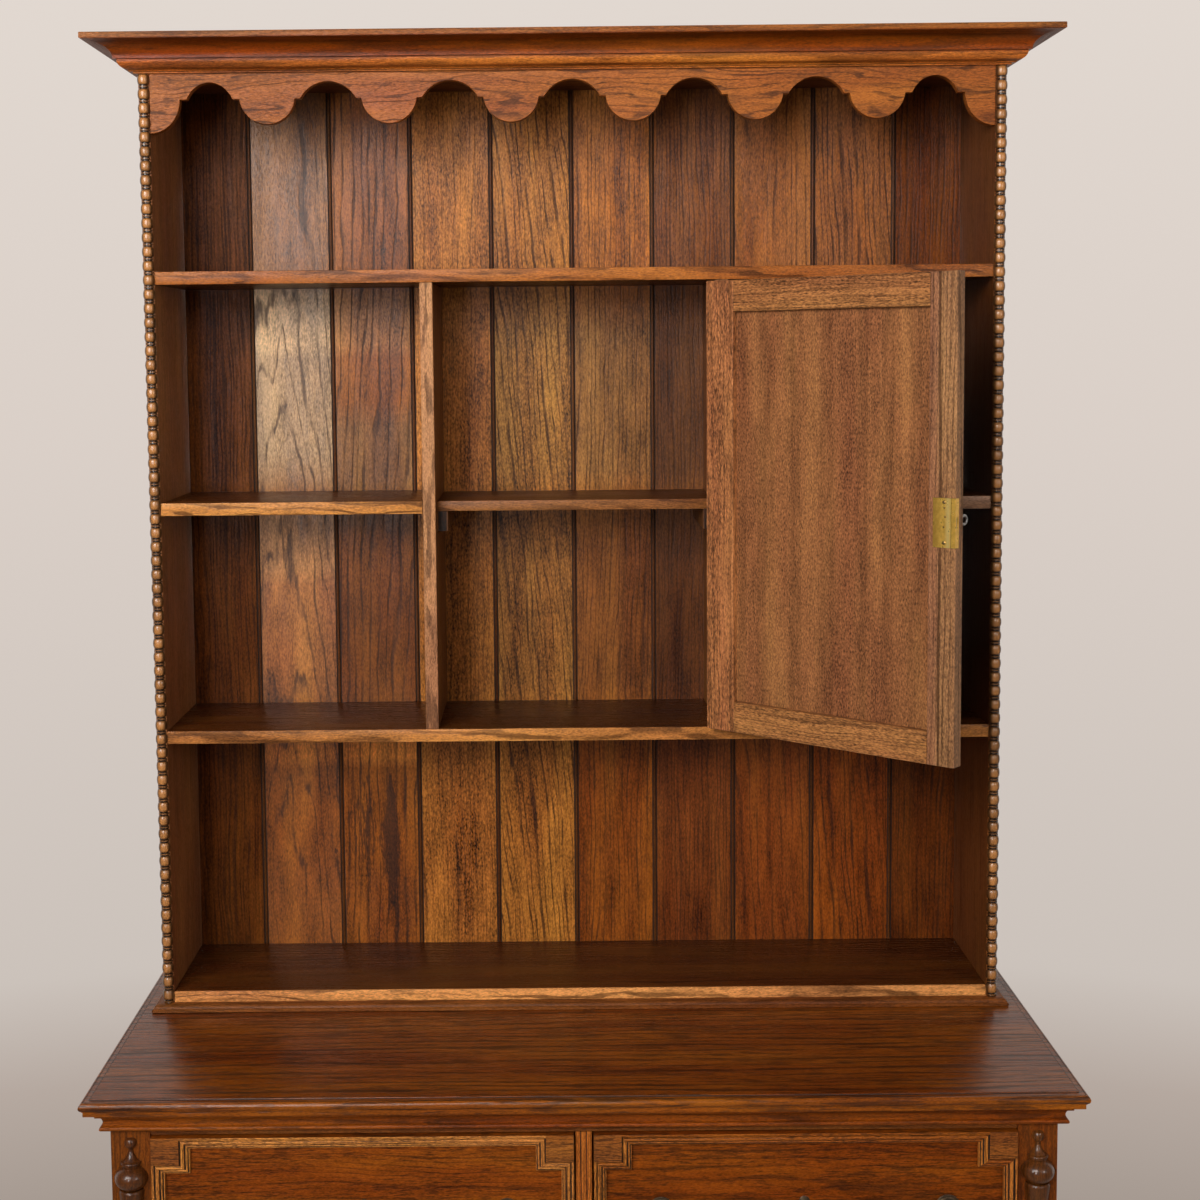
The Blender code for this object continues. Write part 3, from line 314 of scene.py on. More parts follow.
def metal(name, light, dark, rough, grain=140.0, wear=0.5, sheen=1.0):
    """Aged metal: patches of tarnish, fine scratches and small pits; sheen below one is a lacquered surface."""
    p = Paint(name)
    spot = p.place()
    tarnish = p.ramp(p.noise(spot, (grain, grain, grain), 4.0, 0.6), ((0.36, 0.0), (0.66, 1.0)))
    scratch = p.noise(spot, (grain * 3, grain * 3, grain * 30), 2.0)
    pit = p.ramp(p.noise(spot, (grain * 9, grain * 9, grain * 9), 1.0), ((0.62, 0.0), (0.72, 1.0)))
    colour = p.mix(p.math("MULTIPLY", tarnish, wear), light, dark)
    colour = p.mix(p.math("MULTIPLY", pit, 0.5), colour, dark)
    p.shader.inputs["Metallic"].default_value = sheen
    polish = p.math("MULTIPLY_ADD", tarnish, 0.22, p.math("MULTIPLY_ADD", scratch, 0.16, rough - 0.08))
    return p.finish(colour, polish, p.math("SUBTRACT", scratch, pit), 0.0002, 0.3)


def shadow_line(name):
    """Painted shade in a quirk, with old wax and dust there too."""
    p = Paint(name)
    speck = p.noise(p.place(), (400.0, 400.0, 90.0), 3.0)
    colour = p.mix(speck, (0.012, 0.005, 0.002), (0.035, 0.014, 0.006))
    return p.finish(colour, p.math("MULTIPLY_ADD", speck, 0.2, 0.6), speck, 0.0003, 0.4)


# Mesh helpers
def loft(rings):
    """A closed body through rings of equally many points."""
    form = bmesh.new()
    loops = [[form.verts.new(point) for point in ring] for ring in rings]
    count = len(loops[0])
    for low, high in zip(loops, loops[1:]):
        for i in range(count):
            j = (i + 1) % count
            form.faces.new((low[i], low[j], high[j], high[i]))
    form.faces.new(list(reversed(loops[0])))
    form.faces.new(loops[-1])
    bmesh.ops.recalc_face_normals(form, faces=form.faces)
    return form


def piece(name, form, materials, body="carcass", smooth=35, node=None):
    """A dressed piece that rides on a body and may stand for a CAD node."""
    mesh = bpy.data.meshes.new(name)
    form.to_mesh(mesh)
    form.free()
    for material in materials:
        mesh.materials.append(material)
    mesh.shade_smooth()
    mesh.set_sharp_from_angle(angle=radians(smooth))
    made = bpy.data.objects.new(name, mesh)
    bpy.context.collection.objects.link(made)
    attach(made, body)
    if node:
        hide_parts(node)
    return made


def arc(centre, radius, start, end, steps):
    turns = [radians(start + (end - start) * i / steps) for i in range(steps + 1)]
    return [(centre[0] + radius * cos(t), centre[1] + radius * sin(t)) for t in turns]


def smooth_profile(points, steps=4):
    """A curve through turning points (along, radius); a repeated point keeps its corner."""
    full = []
    for i in range(len(points) - 1):
        p0, p1 = Vector(points[max(i - 1, 0)]), Vector(points[i])
        p2, p3 = Vector(points[i + 1]), Vector(points[min(i + 2, len(points) - 1)])
        if (p2 - p1).length < 1e-7:
            continue
        for k in range(steps):
            t = k / steps
            spot = 0.5 * (2 * p1 + (p2 - p0) * t + (2 * p0 - 5 * p1 + 4 * p2 - p3) * t * t
                          + (3 * p1 - p0 - 3 * p2 + p3) * t ** 3)
            full.append((spot.x, max(spot.y, 0.0004)))
    full.append(points[-1])
    return full


def turned(profile, centre, sides, axis="z", half=False):
    """A turning, or its front half, from (along, radius)."""
    turn = pi if half else 2 * pi
    count = sides + 1 if half else sides
    rings = []
    for along, radius in profile:
        ring = []
        for i in range(count):
            a = radius * cos(turn * i / sides + turn)
            b = radius * sin(turn * i / sides + turn)
            offset = {"z": (a, b, along), "y": (a, along, b), "x": (along, a, b)}[axis]
            ring.append(Vector(centre) + Vector(offset))
        rings.append(ring)
    return loft(rings)


def three_sided(half, front, back, out):
    return ((-half - out, back), (-half - out, front - out), (half + out, front - out), (half + out, back))


def mitred_run(profile, half, front, back):
    """A moulding mitred round the front; its side runs take the second material."""
    corners = [three_sided(half, front, back, out) for out, _ in profile]
    rings = [[(*corners[i][k], z) for i, (_, z) in enumerate(profile)] for k in range(4)]
    form = loft(rings)
    for face in form.faces:
        spot = face.calc_center_median()
        face.material_index = int(front - spot.y < abs(spot.x) - half)
    return form


def moulded_slab(profile, half, front, back):
    return loft([[(x, y, z) for x, y in three_sided(half, front, back, out)] for out, z in profile])


def softened(form, edges, offset=0.0006, segments=2):
    bmesh.ops.bevel(form, geom=edges, offset=offset, segments=segments, affect="EDGES", profile=0.6)
    return form


def board(low, high, offset=0.0011):
    """A board with rounded arrises."""
    (x0, y0, z0), (x1, y1, z1) = low, high
    plan = ((x0, y0), (x1, y0), (x1, y1), (x0, y1))
    form = loft([[(x, y, z) for x, y in plan] for z in (z0, z1)])
    return softened(form, form.edges[:], offset)


# Rack
def matchboards():
    """Ten boards of different trees with a quirked bead beside each joint."""
    joints = [(i - (BOARD_JOINTS - 1) / 2) * BOARD_PITCH for i in range(BOARD_JOINTS)]
    inner = BOARDS_HIGH.x
    outline = [(-inner, BOARDS_HIGH.y), (-inner, BOARDS_FRONT)]
    for x in joints:
        outline += [(x - BEAD - QUIRK, BOARDS_FRONT), (x - BEAD - QUIRK * 0.6, BOARDS_FRONT + 0.0022)]
        outline += [(x - BEAD, BOARDS_FRONT + 0.0020)]
        outline += [(a, b) for a, b in arc((x, BOARDS_FRONT + 0.0015), BEAD, 188, 352, 8)]
        outline += [(x + BEAD, BOARDS_FRONT + 0.0020), (x + BEAD + QUIRK * 0.6, BOARDS_FRONT + 0.0022)]
        outline += [(x + BEAD + QUIRK, BOARDS_FRONT)]
    outline += [(inner, BOARDS_FRONT), (inner, BOARDS_HIGH.y)]
    for x in reversed(joints):
        outline += [(x + 0.0008, BOARDS_HIGH.y), (x, BOARDS_HIGH.y - 0.0016), (x - 0.0008, BOARDS_HIGH.y)]
    form = loft([[(x, y, z) for x, y in outline] for z in (BOARDS_LOW.z, BOARDS_HIGH.z)])
    for face in form.faces:
        spot = face.calc_center_median()
        number = sum(spot.x > x - BEAD for x in joints)
        in_quirk = any(BEAD * 0.98 < abs(spot.x - x) < BEAD + QUIRK for x in joints)
        if spot.y > BOARDS_FRONT + 0.005:
            in_gap = abs(spot.x) < inner - 0.01 and 0.0002 < BOARDS_HIGH.y - spot.y < 0.0016 and len(face.verts) == 4
            number = BOARD_JOINTS + (1 if in_gap else 2)
        elif in_quirk and spot.y > BOARDS_FRONT + 0.0002:
            number = BOARD_JOINTS + 1
        elif any(abs(spot.x - x) < BEAD for x in joints):
            number = BOARD_JOINTS + 3
        face.material_index = number
    depth = BOARDS_FRONT
    trees = (
        ((0.120, 0.031, 0.0046), (-0.72, depth + 0.02), 0.0065, 0.006, 0.85, 0.42, 0.5, None),
        ((0.242, 0.084, 0.0140), (-0.43, depth + 0.090), 0.0085, 0.045, 0.80, 0.15, 0.4, (0.975, -0.357, 0.010, 0.006)),
        ((0.262, 0.074, 0.0085), (-0.20, depth + 0.060), 0.0110, 0.030, 0.85, 0.24, 0.6, (1.000, -0.290, 0.125, 0.034)),
        ((0.375, 0.128, 0.0215), (-0.02, depth + 0.030), 0.0065, 0.008, 0.55, 0.18, 0.5, None),
        ((0.338, 0.118, 0.0190), (-0.170, depth + 0.060), 0.0075, 0.070, 0.85, 0.24, 0.4, None),
        ((0.390, 0.125, 0.0190), (0.210, depth + 0.036), 0.0070, 0.020, 0.75, 0.24, 0.5, None),
        ((0.199, 0.061, 0.0128), (0.32, depth + 0.035), 0.0060, 0.010, 0.70, 0.30, 0.6, None),
        ((0.298, 0.096, 0.0190), (0.20, depth + 0.080), 0.0090, 0.020, 0.70, 0.20, 0.5, None),
        ((0.292, 0.093, 0.0178), (0.28, depth + 0.070), 0.0080, 0.040, 0.85, 0.30, 0.6, None),
        ((0.135, 0.031, 0.0037), (0.70, depth + 0.030), 0.0065, 0.012, 0.80, 0.32, 0.6, None),
    )
    # Painted shade: boards 2, 6, 7, 8 and 9 grow darker towards their feet, fading out half a metre above the bottom.
    painted_shade_feet = {1: (0.265, 0.078, 0.0110), 5: (0.223, 0.056, 0.0062), 6: (0.161, 0.039, 0.0066), 7: (0.211, 0.050, 0.0072),
            8: (0.231, 0.052, 0.0055)}
    # Painted light and shade in the two middle bays: boards 4 to 7 take other tones there, centred a little low. They
    # are mostly darker, as painted shade on the lower parts of the bays; board 4 is lighter in the upper bay, as
    # painted light.
    cupboard = {3: ((0.435, 0.150, 0.0260), (0.330, 0.112, 0.0190)), 4: ((0.333, 0.142, 0.0280), (0.250, 0.097, 0.0200)),
                5: ((0.260, 0.110, 0.0280), (0.183, 0.057, 0.0120)), 6: ((0.105, 0.035, 0.0092), (0.094, 0.029, 0.0073))}
    polished = {0: (0.29, 0.08), 1: (0.33, 0.38), 2: (0.31, 0.24)}
    upper, shelf = (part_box(node)[0][2] for node in ("shelf_top", "shelf_lower"))
    under, lower = (corner[2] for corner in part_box("shelf_middle_left"))
    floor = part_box("shelf_lower")[1][2]
    materials = []
    for i, (light, pith, ring, taper, figure, band, jag, blotch) in enumerate(trees):
        rough, gloss = polished.get(i, (0.30, 0.17))
        edges = [("z", BOARDS_LOW.z, 0.5, painted_shade_feet[i])] if i in painted_shade_feet else []
        # Board 2: the pale tone between shelf_top and shelf_middle_left is a painted sheen, the window's reflection.
        # The lighter bands just under shelf_top, shelf_middle_left and shelf_lower are painted light against the
        # shelves' shadows, and the lighter tone between shelf_middle_left and shelf_lower is painted light as well.
        if i == 1:
            edges += [("z", (upper + lower) / 2, 0.52 * (upper - lower), (0.370, 0.215, 0.100)),
                      ("z", (under + floor) / 2, 0.52 * (under - floor), (0.340, 0.116, 0.028)),
                      ("z", upper - 0.045, 0.056, (0.640, 0.385, 0.180)),
                      ("z", under - 0.055, 0.065, (0.430, 0.175, 0.050)),
                      ("z", shelf - 0.035, 0.048, (0.580, 0.175, 0.026))]
        if i in cupboard:
            edges += [("z", (upper + lower) / 2 - 0.02, 0.56 * (upper - lower), cupboard[i][0]),
                      ("z", (under + floor) / 2 - 0.02, 0.56 * (under - floor), cupboard[i][1])]
        # Board 3's zones are painted light and shade: lighter bands just under shelf_top and shelf_lower against the
        # shelves' shadows, a paler band about shelf_middle_left, and a darker band low between shelf_middle_left and
        # shelf_lower.
        if i == 2:
            edges += [("z", upper - 0.045, 0.056, (0.400, 0.150, 0.036)),
                      ("z", lower + 0.030, 0.100, (0.215, 0.085, 0.022)),
                      ("z", floor + 0.060, 0.160, (0.170, 0.048, 0.0075)),
                      ("z", shelf - 0.035, 0.048, (0.640, 0.200, 0.031))]
        materials.append(oak(f"oak_board_{i + 1}", "zxy", light, 11 + i, pith, ring=ring, taper=taper, figure=figure,
                             band=band, jag=jag, mottle=0.8, rough=rough, gloss=gloss, blotch=blotch, edges=edges,
                             tooth=(2.1 if i in (3, 4) else 1.4, 220.0, 450.0)))
    materials += [shadow_line("oak_quirk"),
                  oak("oak_unpolished", "zxy", (0.27, 0.15, 0.075), 40, (0.9, 0.4), ring=0.008, rough=0.62),
                  oak("oak_bead", "zxy", (0.100, 0.030, 0.0065), 41, (0.9, 0.4), ring=0.005, figure=0.5)]
    piece("matchboards", form, materials, node="back_boards")


def frieze_outline():
    """The scalloped edge, left to right, with the end brackets' quarter lobes."""
    level = CORNICE_LOW.z
    shoulder = level - 0.0340
    lobe_drop = 0.0670 - 0.0340
    rise = 0.0340 - 0.0118
    half = FRIEZE_PITCH * 0.228
    radius_lobe = (half ** 2 + lobe_drop ** 2) / (2 * lobe_drop)
    radius_arch = (half ** 2 + rise ** 2) / (2 * rise)
    spread_lobe = degrees(asin(half / radius_lobe))
    spread_arch = degrees(asin(half / radius_arch))
    end = RACK_HALF - GAP
    bracket, bracket_drop = 0.040, 0.0778 - 0.0340
    last = (FRIEZE_LOBES - 1) / 2 * FRIEZE_PITCH
    points = [(-end + bracket * x, shoulder + bracket_drop * z) for x, z in arc((0, 0), 1, 270, 360, 14)]
    left, right = -end + bracket + 0.009, -last - half - 0.009
    middle, share = (left + right) / 2, (right - left) / (2 * half)
    sweep = arc((0, shoulder + rise - radius_arch), radius_arch, 90 + spread_arch, 90 - spread_arch, 20)
    points += [(middle + share * x, z) for x, z in sweep]
    for i in range(FRIEZE_LOBES):
        x = i * FRIEZE_PITCH - last
        points += arc((x, shoulder - lobe_drop + radius_lobe), radius_lobe, 270 - spread_lobe, 270 + spread_lobe, 22)
        if i < FRIEZE_LOBES - 1:
            points += [(x + FRIEZE_PITCH / 2 + a, z) for a, z in sweep]
    points += [(-middle + share * x, z) for x, z in sweep]
    points += [(end + bracket * x, shoulder + bracket_drop * z) for x, z in arc((0, 0), 1, 180, 270, 14)]
    return points


def frieze():
    low, high = (Vector(corner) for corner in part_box("frieze"))
    outline = frieze_outline() + [(high.x, high.z), (low.x, high.z)]
    form = loft([[(x, y, z) for x, z in outline] for y in (low.y, high.y)])
    rims = [e for e in form.edges if abs(e.verts[0].co.y - e.verts[1].co.y) < 1e-6]
    softened(form, rims, 0.0005, 1)
    material = oak("oak_frieze", "xzy", (0.335, 0.095, 0.0160), 3, (2.02, RACK_FRONT + 0.05), ring=0.0062, taper=0.010,
                   figure=0.75, band=0.22, mottle=0.36, sway=0.045, jag=0.8)
    piece("frieze_board", form, [material], node="frieze", smooth=30)


def cornice():
    low, top = CORNICE_LOW.z, CORNICE_HIGH.z
    out = CORNICE_HIGH.x - RACK_OUT
    cove, drop = out - 0.0268, 0.0188
    cove_foot = top - 0.0081 - drop
    profile = [(GAP, low), (0.0040, low)]
    profile += arc((0.0040, low + 0.0012), 0.0012, -70, 60, 3)
    profile += [(0.0058, low + 0.0022), (0.0089, low + 0.0022)]
    for i in range(1, 11):
        t = pi / 2 * i / 10
        profile.append((0.0089 + 0.0137 * sin(t), low + 0.0150 - 0.0109 * cos(t)))
    profile += [(0.0226, low + 0.0166), (0.0268, low + 0.0166)]
    for i in range(13):
        t = pi / 2 * i / 12
        profile.append((out - 0.0016 - (cove - 0.0016) * cos(t), cove_foot + drop * sin(t)))
    profile += [(out - 0.0016, top - 0.0076), (out, top - 0.0074)]
    profile += arc((out - 0.0014, top - 0.0014), 0.0014, 0, 90, 4)
    profile += [(GAP, top)]
    # The lighter zone low on the front, over the ovolo and bead, is painted light: these faces look down, away from the
    # lamps.
    front = oak("oak_cornice", "xzy", (0.266, 0.053, 0.0034), 5, (2.20, 0.1), ring=0.0065, taper=0.010, figure=0.5,
                pores=0.5, mottle=0.32, rough=0.34, edges=[("z", top, 0.0085, (0.30, 0.092, 0.018)), ("z", low + 0.0070, 0.0100, (0.56, 0.165, 0.026))])
    sides = oak("oak_cornice_return", "yzx", (0.266, 0.053, 0.0034), 6, (2.20, 0.7), ring=0.0065, taper=0.010,
                figure=0.5, mottle=0.32)
    piece("cornice_moulding", mitred_run(profile, RACK_OUT, RACK_FRONT, RACK_BACK), [front, sides], node="cornice")


def rack_plinth():
    low, high = (Vector(corner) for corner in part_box("rack_plinth"))
    out, rise = high.x - RACK_OUT, high.z - low.z
    profile = [(GAP, low.z), (out - 0.0006, low.z), (out, low.z + 0.0006), (out, low.z + 0.35 * rise)]
    profile += [(out - 0.0012, low.z + 0.42 * rise)]
    for i in range(9):
        t = 0.05 + 1.4 * i / 8
        profile.append((0.003 + (out - 0.0048) * cos(t), low.z + rise * (0.44 + 0.56 * sin(t))))
    profile += [(GAP, high.z)]
    front = oak("oak_plinth", "xzy", (0.22, 0.066, 0.013), 7, (0.70, 0.1), ring=0.005, taper=0.008, figure=0.5)
    sides = oak("oak_plinth_return", "yzx", (0.22, 0.066, 0.013), 8, (0.70, 0.7), ring=0.005, figure=0.5)
    piece("rack_plinth_moulding", mitred_run(profile, RACK_OUT, RACK_FRONT, RACK_BACK), [front, sides], node="rack_plinth")


def bobbin_material():
    """Dark polished turnings, rubbed golden on the crown of each bead; painted shade keeps the gold off the flanks,
    where the beads turn away sideways.
    """
    p = Paint("oak_bobbin")
    spot = p.place()
    xyz = p.add("ShaderNodeSeparateXYZ", {0: spot})
    side = p.math("ABSOLUTE", xyz.outputs[0])
    across = p.math("SUBTRACT", side, (RACK_HALF + RACK_OUT) / 2)
    forward = p.math("SUBTRACT", RACK_FRONT - GAP, xyz.outputs[1])
    radius = p.math("SQRT", p.math("ADD", p.math("MULTIPLY", across, across), p.math("MULTIPLY", forward, forward)))
    crown = p.ramp(p.math("DIVIDE", radius, BOBBIN_RADIUS), ((0.72, 0.0), (0.84, 0.5), (0.97, 1.0)))
    streak = p.noise(spot, (420.0, 420.0, 26.0), 3.0)
    blotch = p.noise(spot, (60.0, 60.0, 19.0), 2.0)
    # Painted shade: the golden crown fades out on each bead's flanks, where it turns away sideways.
    flank = p.math("DIVIDE", p.math("ABSOLUTE", across), BOBBIN_RADIUS)
    crown = p.math("MULTIPLY", crown, p.ramp(flank, ((0.42, 1.0), (0.80, 0.12))))
    wear_and_flank_shade = p.math("MULTIPLY", crown, p.math("MULTIPLY_ADD", blotch, 1.6, 0.2))
    colour = p.mix(wear_and_flank_shade, (0.016, 0.0055, 0.0020), (0.60, 0.250, 0.068))
    colour = p.mix(p.math("MULTIPLY", streak, 0.45), colour, (0.022, 0.008, 0.003))
    p.shader.inputs["Coat Weight"].default_value = 0.5
    p.shader.inputs["Coat Roughness"].default_value = 0.16
    return p.finish(colour, p.math("MULTIPLY_ADD", streak, 0.15, 0.28), streak, 0.0003, 0.3)


def bobbin_strips():
    material = bobbin_material()
    low, high = (Vector(corner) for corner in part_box("bobbin_strip_right"))
    pitch = (high.z - low.z) / BOBBINS
    groove, ring = 0.66 * BOBBIN_RADIUS, 0.86 * BOBBIN_RADIUS
    profile = []
    for i in range(BOBBINS):
        foot = low.z + i * pitch
        profile += [(foot, groove), (foot + 0.035 * pitch, groove)]
        profile += [(foot + pitch * (0.12 + 0.07 * u), groove + (ring - groove) * sqrt(1 - u * u)) for u in (-1, -0.6, 0.6, 1)]
        profile.append((foot + 0.225 * pitch, groove))
        for k in range(9):
            u = -0.98 + 1.96 * k / 8
            profile.append((foot + pitch * (0.615 + 0.38 * u),
                            groove + (BOBBIN_RADIUS - groove) * sqrt(1 - u * u)))
    profile.append((high.z, groove))
    for side, word in ((-1, "left"), (1, "right")):
        centre = (side * (RACK_HALF + RACK_OUT) / 2, RACK_FRONT - GAP, 0.0)
        piece(f"bobbins_{word}", turned(profile, centre, 12, half=True), [material],
              node=f"bobbin_strip_{word}", smooth=50)


def rack_joinery():
    """Shelves as rounded boards in place of the plain CAD ones; sides, dividers and the rack top keep their CAD shapes
    in new oak.
    """
    shelf_tone = (0.105, 0.029, 0.0050)
    upper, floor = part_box("shelf_top")[0][2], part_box("shelf_lower")[1][2]
    for seed, node in enumerate(("rack_floor", "shelf_lower", "shelf_top", "shelf_middle_left", "shelf_middle_right")):
        low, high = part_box(node)
        edge = {"rack_floor": (0.74, 0.305, 0.090), "shelf_top": (0.39, 0.122, 0.024),
                "shelf_middle_right": (0.33, 0.165, 0.090)}.get(node, (0.52, 0.205, 0.050))
        shaded = [("x", 0.0, 0.20, (0.060, 0.0165, 0.0028))] if node == "shelf_lower" else []
        material = oak(f"oak_{node}", "xyz", shelf_tone, 50 + seed, (0.30, low[2] - 0.05), ring=0.006, taper=0.020,
                       figure=0.7, rough=0.26, gloss=0.13, edges=shaded + [("y", RACK_FRONT, 0.0030, edge)])
        piece(f"{node}_board", board(low, high, 0.0013), [material], node=node)
    low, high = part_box("cupboard_shelf")
    material = oak("oak_cupboard_shelf", "xyz", shelf_tone, 57, (0.35, low[2] - 0.06), ring=0.007, taper=0.03,
                   figure=0.6, mottle=0.3, rough=0.32, edges=[("y", low[1], 0.0030, (0.27, 0.100, 0.028))])
    piece("cupboard_shelf_board", board(low, high, 0.0013), [material], node="cupboard_shelf")
    for side, word in ((-1, "left"), (1, "right")):
        # Painted shade: the right side takes a much darker tone than the left, and its zone between the shelves darkens
        # its inner face further.
        tone = (0.375, 0.142, 0.0470) if side < 0 else (0.170, 0.052, 0.0125)
        shaded = [("z", (upper + floor) / 2, 0.53 * (upper - floor), "x", RACK_HALF, 0.004, (0.042, 0.013, 0.0032))]
        dress(f"rack_side_{word}", oak(f"oak_rack_side_{word}", "zyx", tone, 60 + side, (0.35, side * 0.62), ring=0.0060,
                                       taper=0.02, figure=0.5, mottle=0.3, gloss=0.22 if side < 0 else 0.16,
                                       edges=shaded if side > 0 else ()))
        dress(f"divider_{word}", oak(f"oak_divider_{word}", "zyx", (0.22, 0.076, 0.020), 64 + side, (0.42, side * 0.16),
                                     ring=0.0055, taper=0.02, figure=0.6, mottle=0.35,
                                     edges=[("y", RACK_FRONT, 0.0025, (0.46, 0.210, 0.085)),
                                            # Painted shade: the near-black zone at x ±0.1815 darkens each divider's
                                            # face towards the cupboard.
                                            ("x", side * 0.1815, 0.0080, (0.010, 0.0045, 0.0028))]))
    dress("rack_top_board", oak("oak_rack_top", "xyz", (0.19, 0.075, 0.026), 67, (0.4, 2.0), rough=0.5))


def dress(node, material):
    """A better material on a CAD node that keeps its shape."""
    for slot in NODES[node].material_slots:
        slot.material = material


# Door
DOOR_POSE = Matrix.Translation(DOOR_PIVOT) @ Matrix.Rotation(DOOR_TURN, 4, "Z") @ Matrix.Translation(-DOOR_PIVOT)


def opened(form):
    """A form drawn on the closed door, turned to the rest pose."""
    bmesh.ops.transform(form, matrix=DOOR_POSE, verts=form.verts)
    return form


def together(forms):
    """Several forms as one."""
    whole = bmesh.new()
    for form in forms:
        mesh = bpy.data.meshes.new("part")
        form.to_mesh(mesh)
        form.free()
        whole.from_mesh(mesh)
        bpy.data.meshes.remove(mesh)
    return whole


def door_boards():
    inner = RACK_FRONT + 0.009
    dress("door_hinge_stile", oak("oak_hinge_stile", "zxy", (0.410, 0.156, 0.054), 71, (0.36, inner + 0.08), ring=0.0050,
                                  taper=0.006, figure=0.5, pores=0.7, turn=DOOR_TURN, rough=0.4,
                                  tooth=(2.0, 230.0, 560.0)))
    dress("door_lock_stile", oak("oak_lock_stile", "zxy", (0.305, 0.143, 0.060), 72, (-0.40, inner + 0.10), ring=0.0060,
                                 taper=0.010, figure=0.6, turn=DOOR_TURN, rough=0.4, sway=0.01,
                                 streak=(-0.1640, 0.0026), tooth=(2.0, 230.0, 560.0),
                                 edges=[("x", -0.149, 0.0155, (0.265, 0.110, 0.052))]))
    for seed, word in ((73, "top"), (74, "bottom")):
        low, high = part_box(f"door_{word}_rail")
        dress(f"door_{word}_rail", oak(f"oak_{word}_rail", "xzy", (0.370, 0.151, 0.048), seed,
                                       (low[2] - 0.10, inner + 0.03), ring=0.0055, taper=0.008, figure=0.5, pores=0.7,
                                       turn=DOOR_TURN, rough=0.4, tooth=(2.0, 230.0, 560.0)))
    dress("door_panel", oak("oak_door_panel", "zxy", (0.268, 0.103, 0.0365), 75, (0.9, inner), ring=0.047, taper=0.0,
                            figure=0.28, band=0.45, jag=0.15, pores=0.35, mottle=0.45, turn=DOOR_TURN, rough=0.42,
                            sway=0.010, speck=(230.0, 620.0), tooth=(2.3, 260.0, 540.0)))


def screw_head(x, y, z, radius, facing, slot_turn):
    """A countersunk head with its slot, facing along Y."""
    dome = [(0.0, radius), (0.25 * radius, radius), (0.40 * radius, 0.8 * radius), (0.46 * radius, 0.2 * radius)]
    head = turned([(facing * along, reach) for along, reach in dome], (x, y, z), 20, "y")
    half, wide, front = 0.85 * radius, 0.13 * radius, y + facing * 0.5 * radius
    corners = [(-half, -wide), (half, -wide), (half, wide), (-half, wide)]
    rings = []
    for depth in (y, front):
        rings.append([(x + a * cos(slot_turn) - b * sin(slot_turn), depth, z + a * sin(slot_turn) + b * cos(slot_turn))
                      for a, b in corners])
    slot = loft(rings)
    for face in slot.faces:
        face.material_index = 1
    return together([head, slot])


def keyhole_plate(centre, outline, facing, thick):
    """A plate with a pierced keyhole; the hole's floor takes the second material."""
    count = len(outline)
    hole = []
    for i in range(count):
        t = 2 * pi * i / count
        a, b = 0.0024 * cos(t), 0.0024 * sin(t)
        hole.append((a * (0.55 if b < -0.0008 else 1.0), b if b > -0.0008 else -0.0008 + (b + 0.0008) * 4.5))
    rings = []
    for points, share, depth in ((outline, 1.0, 0.0), (outline, 1.0, 0.55), (outline, 0.93, 1.0), (hole, 1.0, 1.0),
                                 (hole, 1.0, 0.25)):
        rings.append([(centre[0] + share * a, centre[1] + facing * thick * depth, centre[2] + share * b) for a, b in points])
    form = loft(rings)
    form.faces.ensure_lookup_table()
    form.faces[-1].material_index = 1
    return form


def shield(width, height, count=48):
    """A drawer escutcheon: a waisted oval with pointed ends."""
    points = []
    for i in range(count):
        t = 2 * pi * i / count
        swell = 1.0 + 0.10 * cos(4 * t) - 0.06 * cos(8 * t)
        points.append((width / 2 * cos(t) * swell, height / 2 * sin(t) * (1.0 + 0.06 * abs(sin(t)) ** 12)))
    return points


def lock_brass(free, middle):
    """The lock's plate: bright brass in the field with a painted highlight beside the fold, brown along its edges and
    beside its folded face, and painted shade over the part farthest from the free edge.
    """
    p = Paint("brass_lock")
    spot = p.place(DOOR_TURN)
    xyz = p.add("ShaderNodeSeparateXYZ", {0: spot})
    from_free = p.math("SUBTRACT", xyz.outputs[0], free)
    across = p.math("DIVIDE", p.math("ABSOLUTE", p.math("SUBTRACT", from_free, 0.01525)), 0.01525)
    along = p.math("DIVIDE", p.math("ABSOLUTE", p.math("SUBTRACT", xyz.outputs[2], middle)), 0.030)
    cloud = p.noise(spot, (150.0, 150.0, 110.0), 4.0, 0.6)
    rim = p.math("MULTIPLY_ADD", cloud, 0.5, p.math("MAXIMUM", p.math("SUBTRACT", across, 0.05), along))
    rim = p.ramp(rim, ((1.08, 0.0), (1.28, 1.0)))
    fold = p.math("DIVIDE", p.math("ABSOLUTE", p.math("SUBTRACT", from_free, 0.0060)), 0.0009)
    fold = p.ramp(fold, ((0.3, 1.0), (1.0, 0.0)))
    scratch = p.noise(spot, (900.0, 900.0, 60.0), 2.0)
    dull = p.math("MULTIPLY", p.ramp(cloud, ((0.40, 0.0), (0.66, 1.0))), 0.55)
    colour = p.mix(dull, (0.93, 0.56, 0.105), (0.46, 0.235, 0.030))
    # Painted highlight: a pale gold band beside the fold.
    painted_highlight = p.math("DIVIDE", p.math("ABSOLUTE", p.math("SUBTRACT", from_free, 0.0100)), 0.0050)
    colour = p.mix(p.ramp(painted_highlight, ((0.0, 0.6), (1.0, 0.0))), colour, (1.0, 0.80, 0.32))
    # Painted shade: the part of the plate farthest from the free edge darkens.
    colour = p.mix(p.ramp(from_free, ((0.020, 0.0), (0.0305, 0.6))), colour, (0.26, 0.13, 0.020))
    colour = p.mix(p.math("MULTIPLY", fold, 0.65), colour, (0.12, 0.060, 0.010))
    colour = p.mix(p.math("MULTIPLY", rim, 0.75), colour, (0.10, 0.048, 0.009))
    p.shader.inputs["Metallic"].default_value = 0.7
    return p.finish(colour, p.math("MULTIPLY_ADD", cloud, 0.2, 0.2), p.math("SUBTRACT", scratch, fold), 0.0003, 0.35)


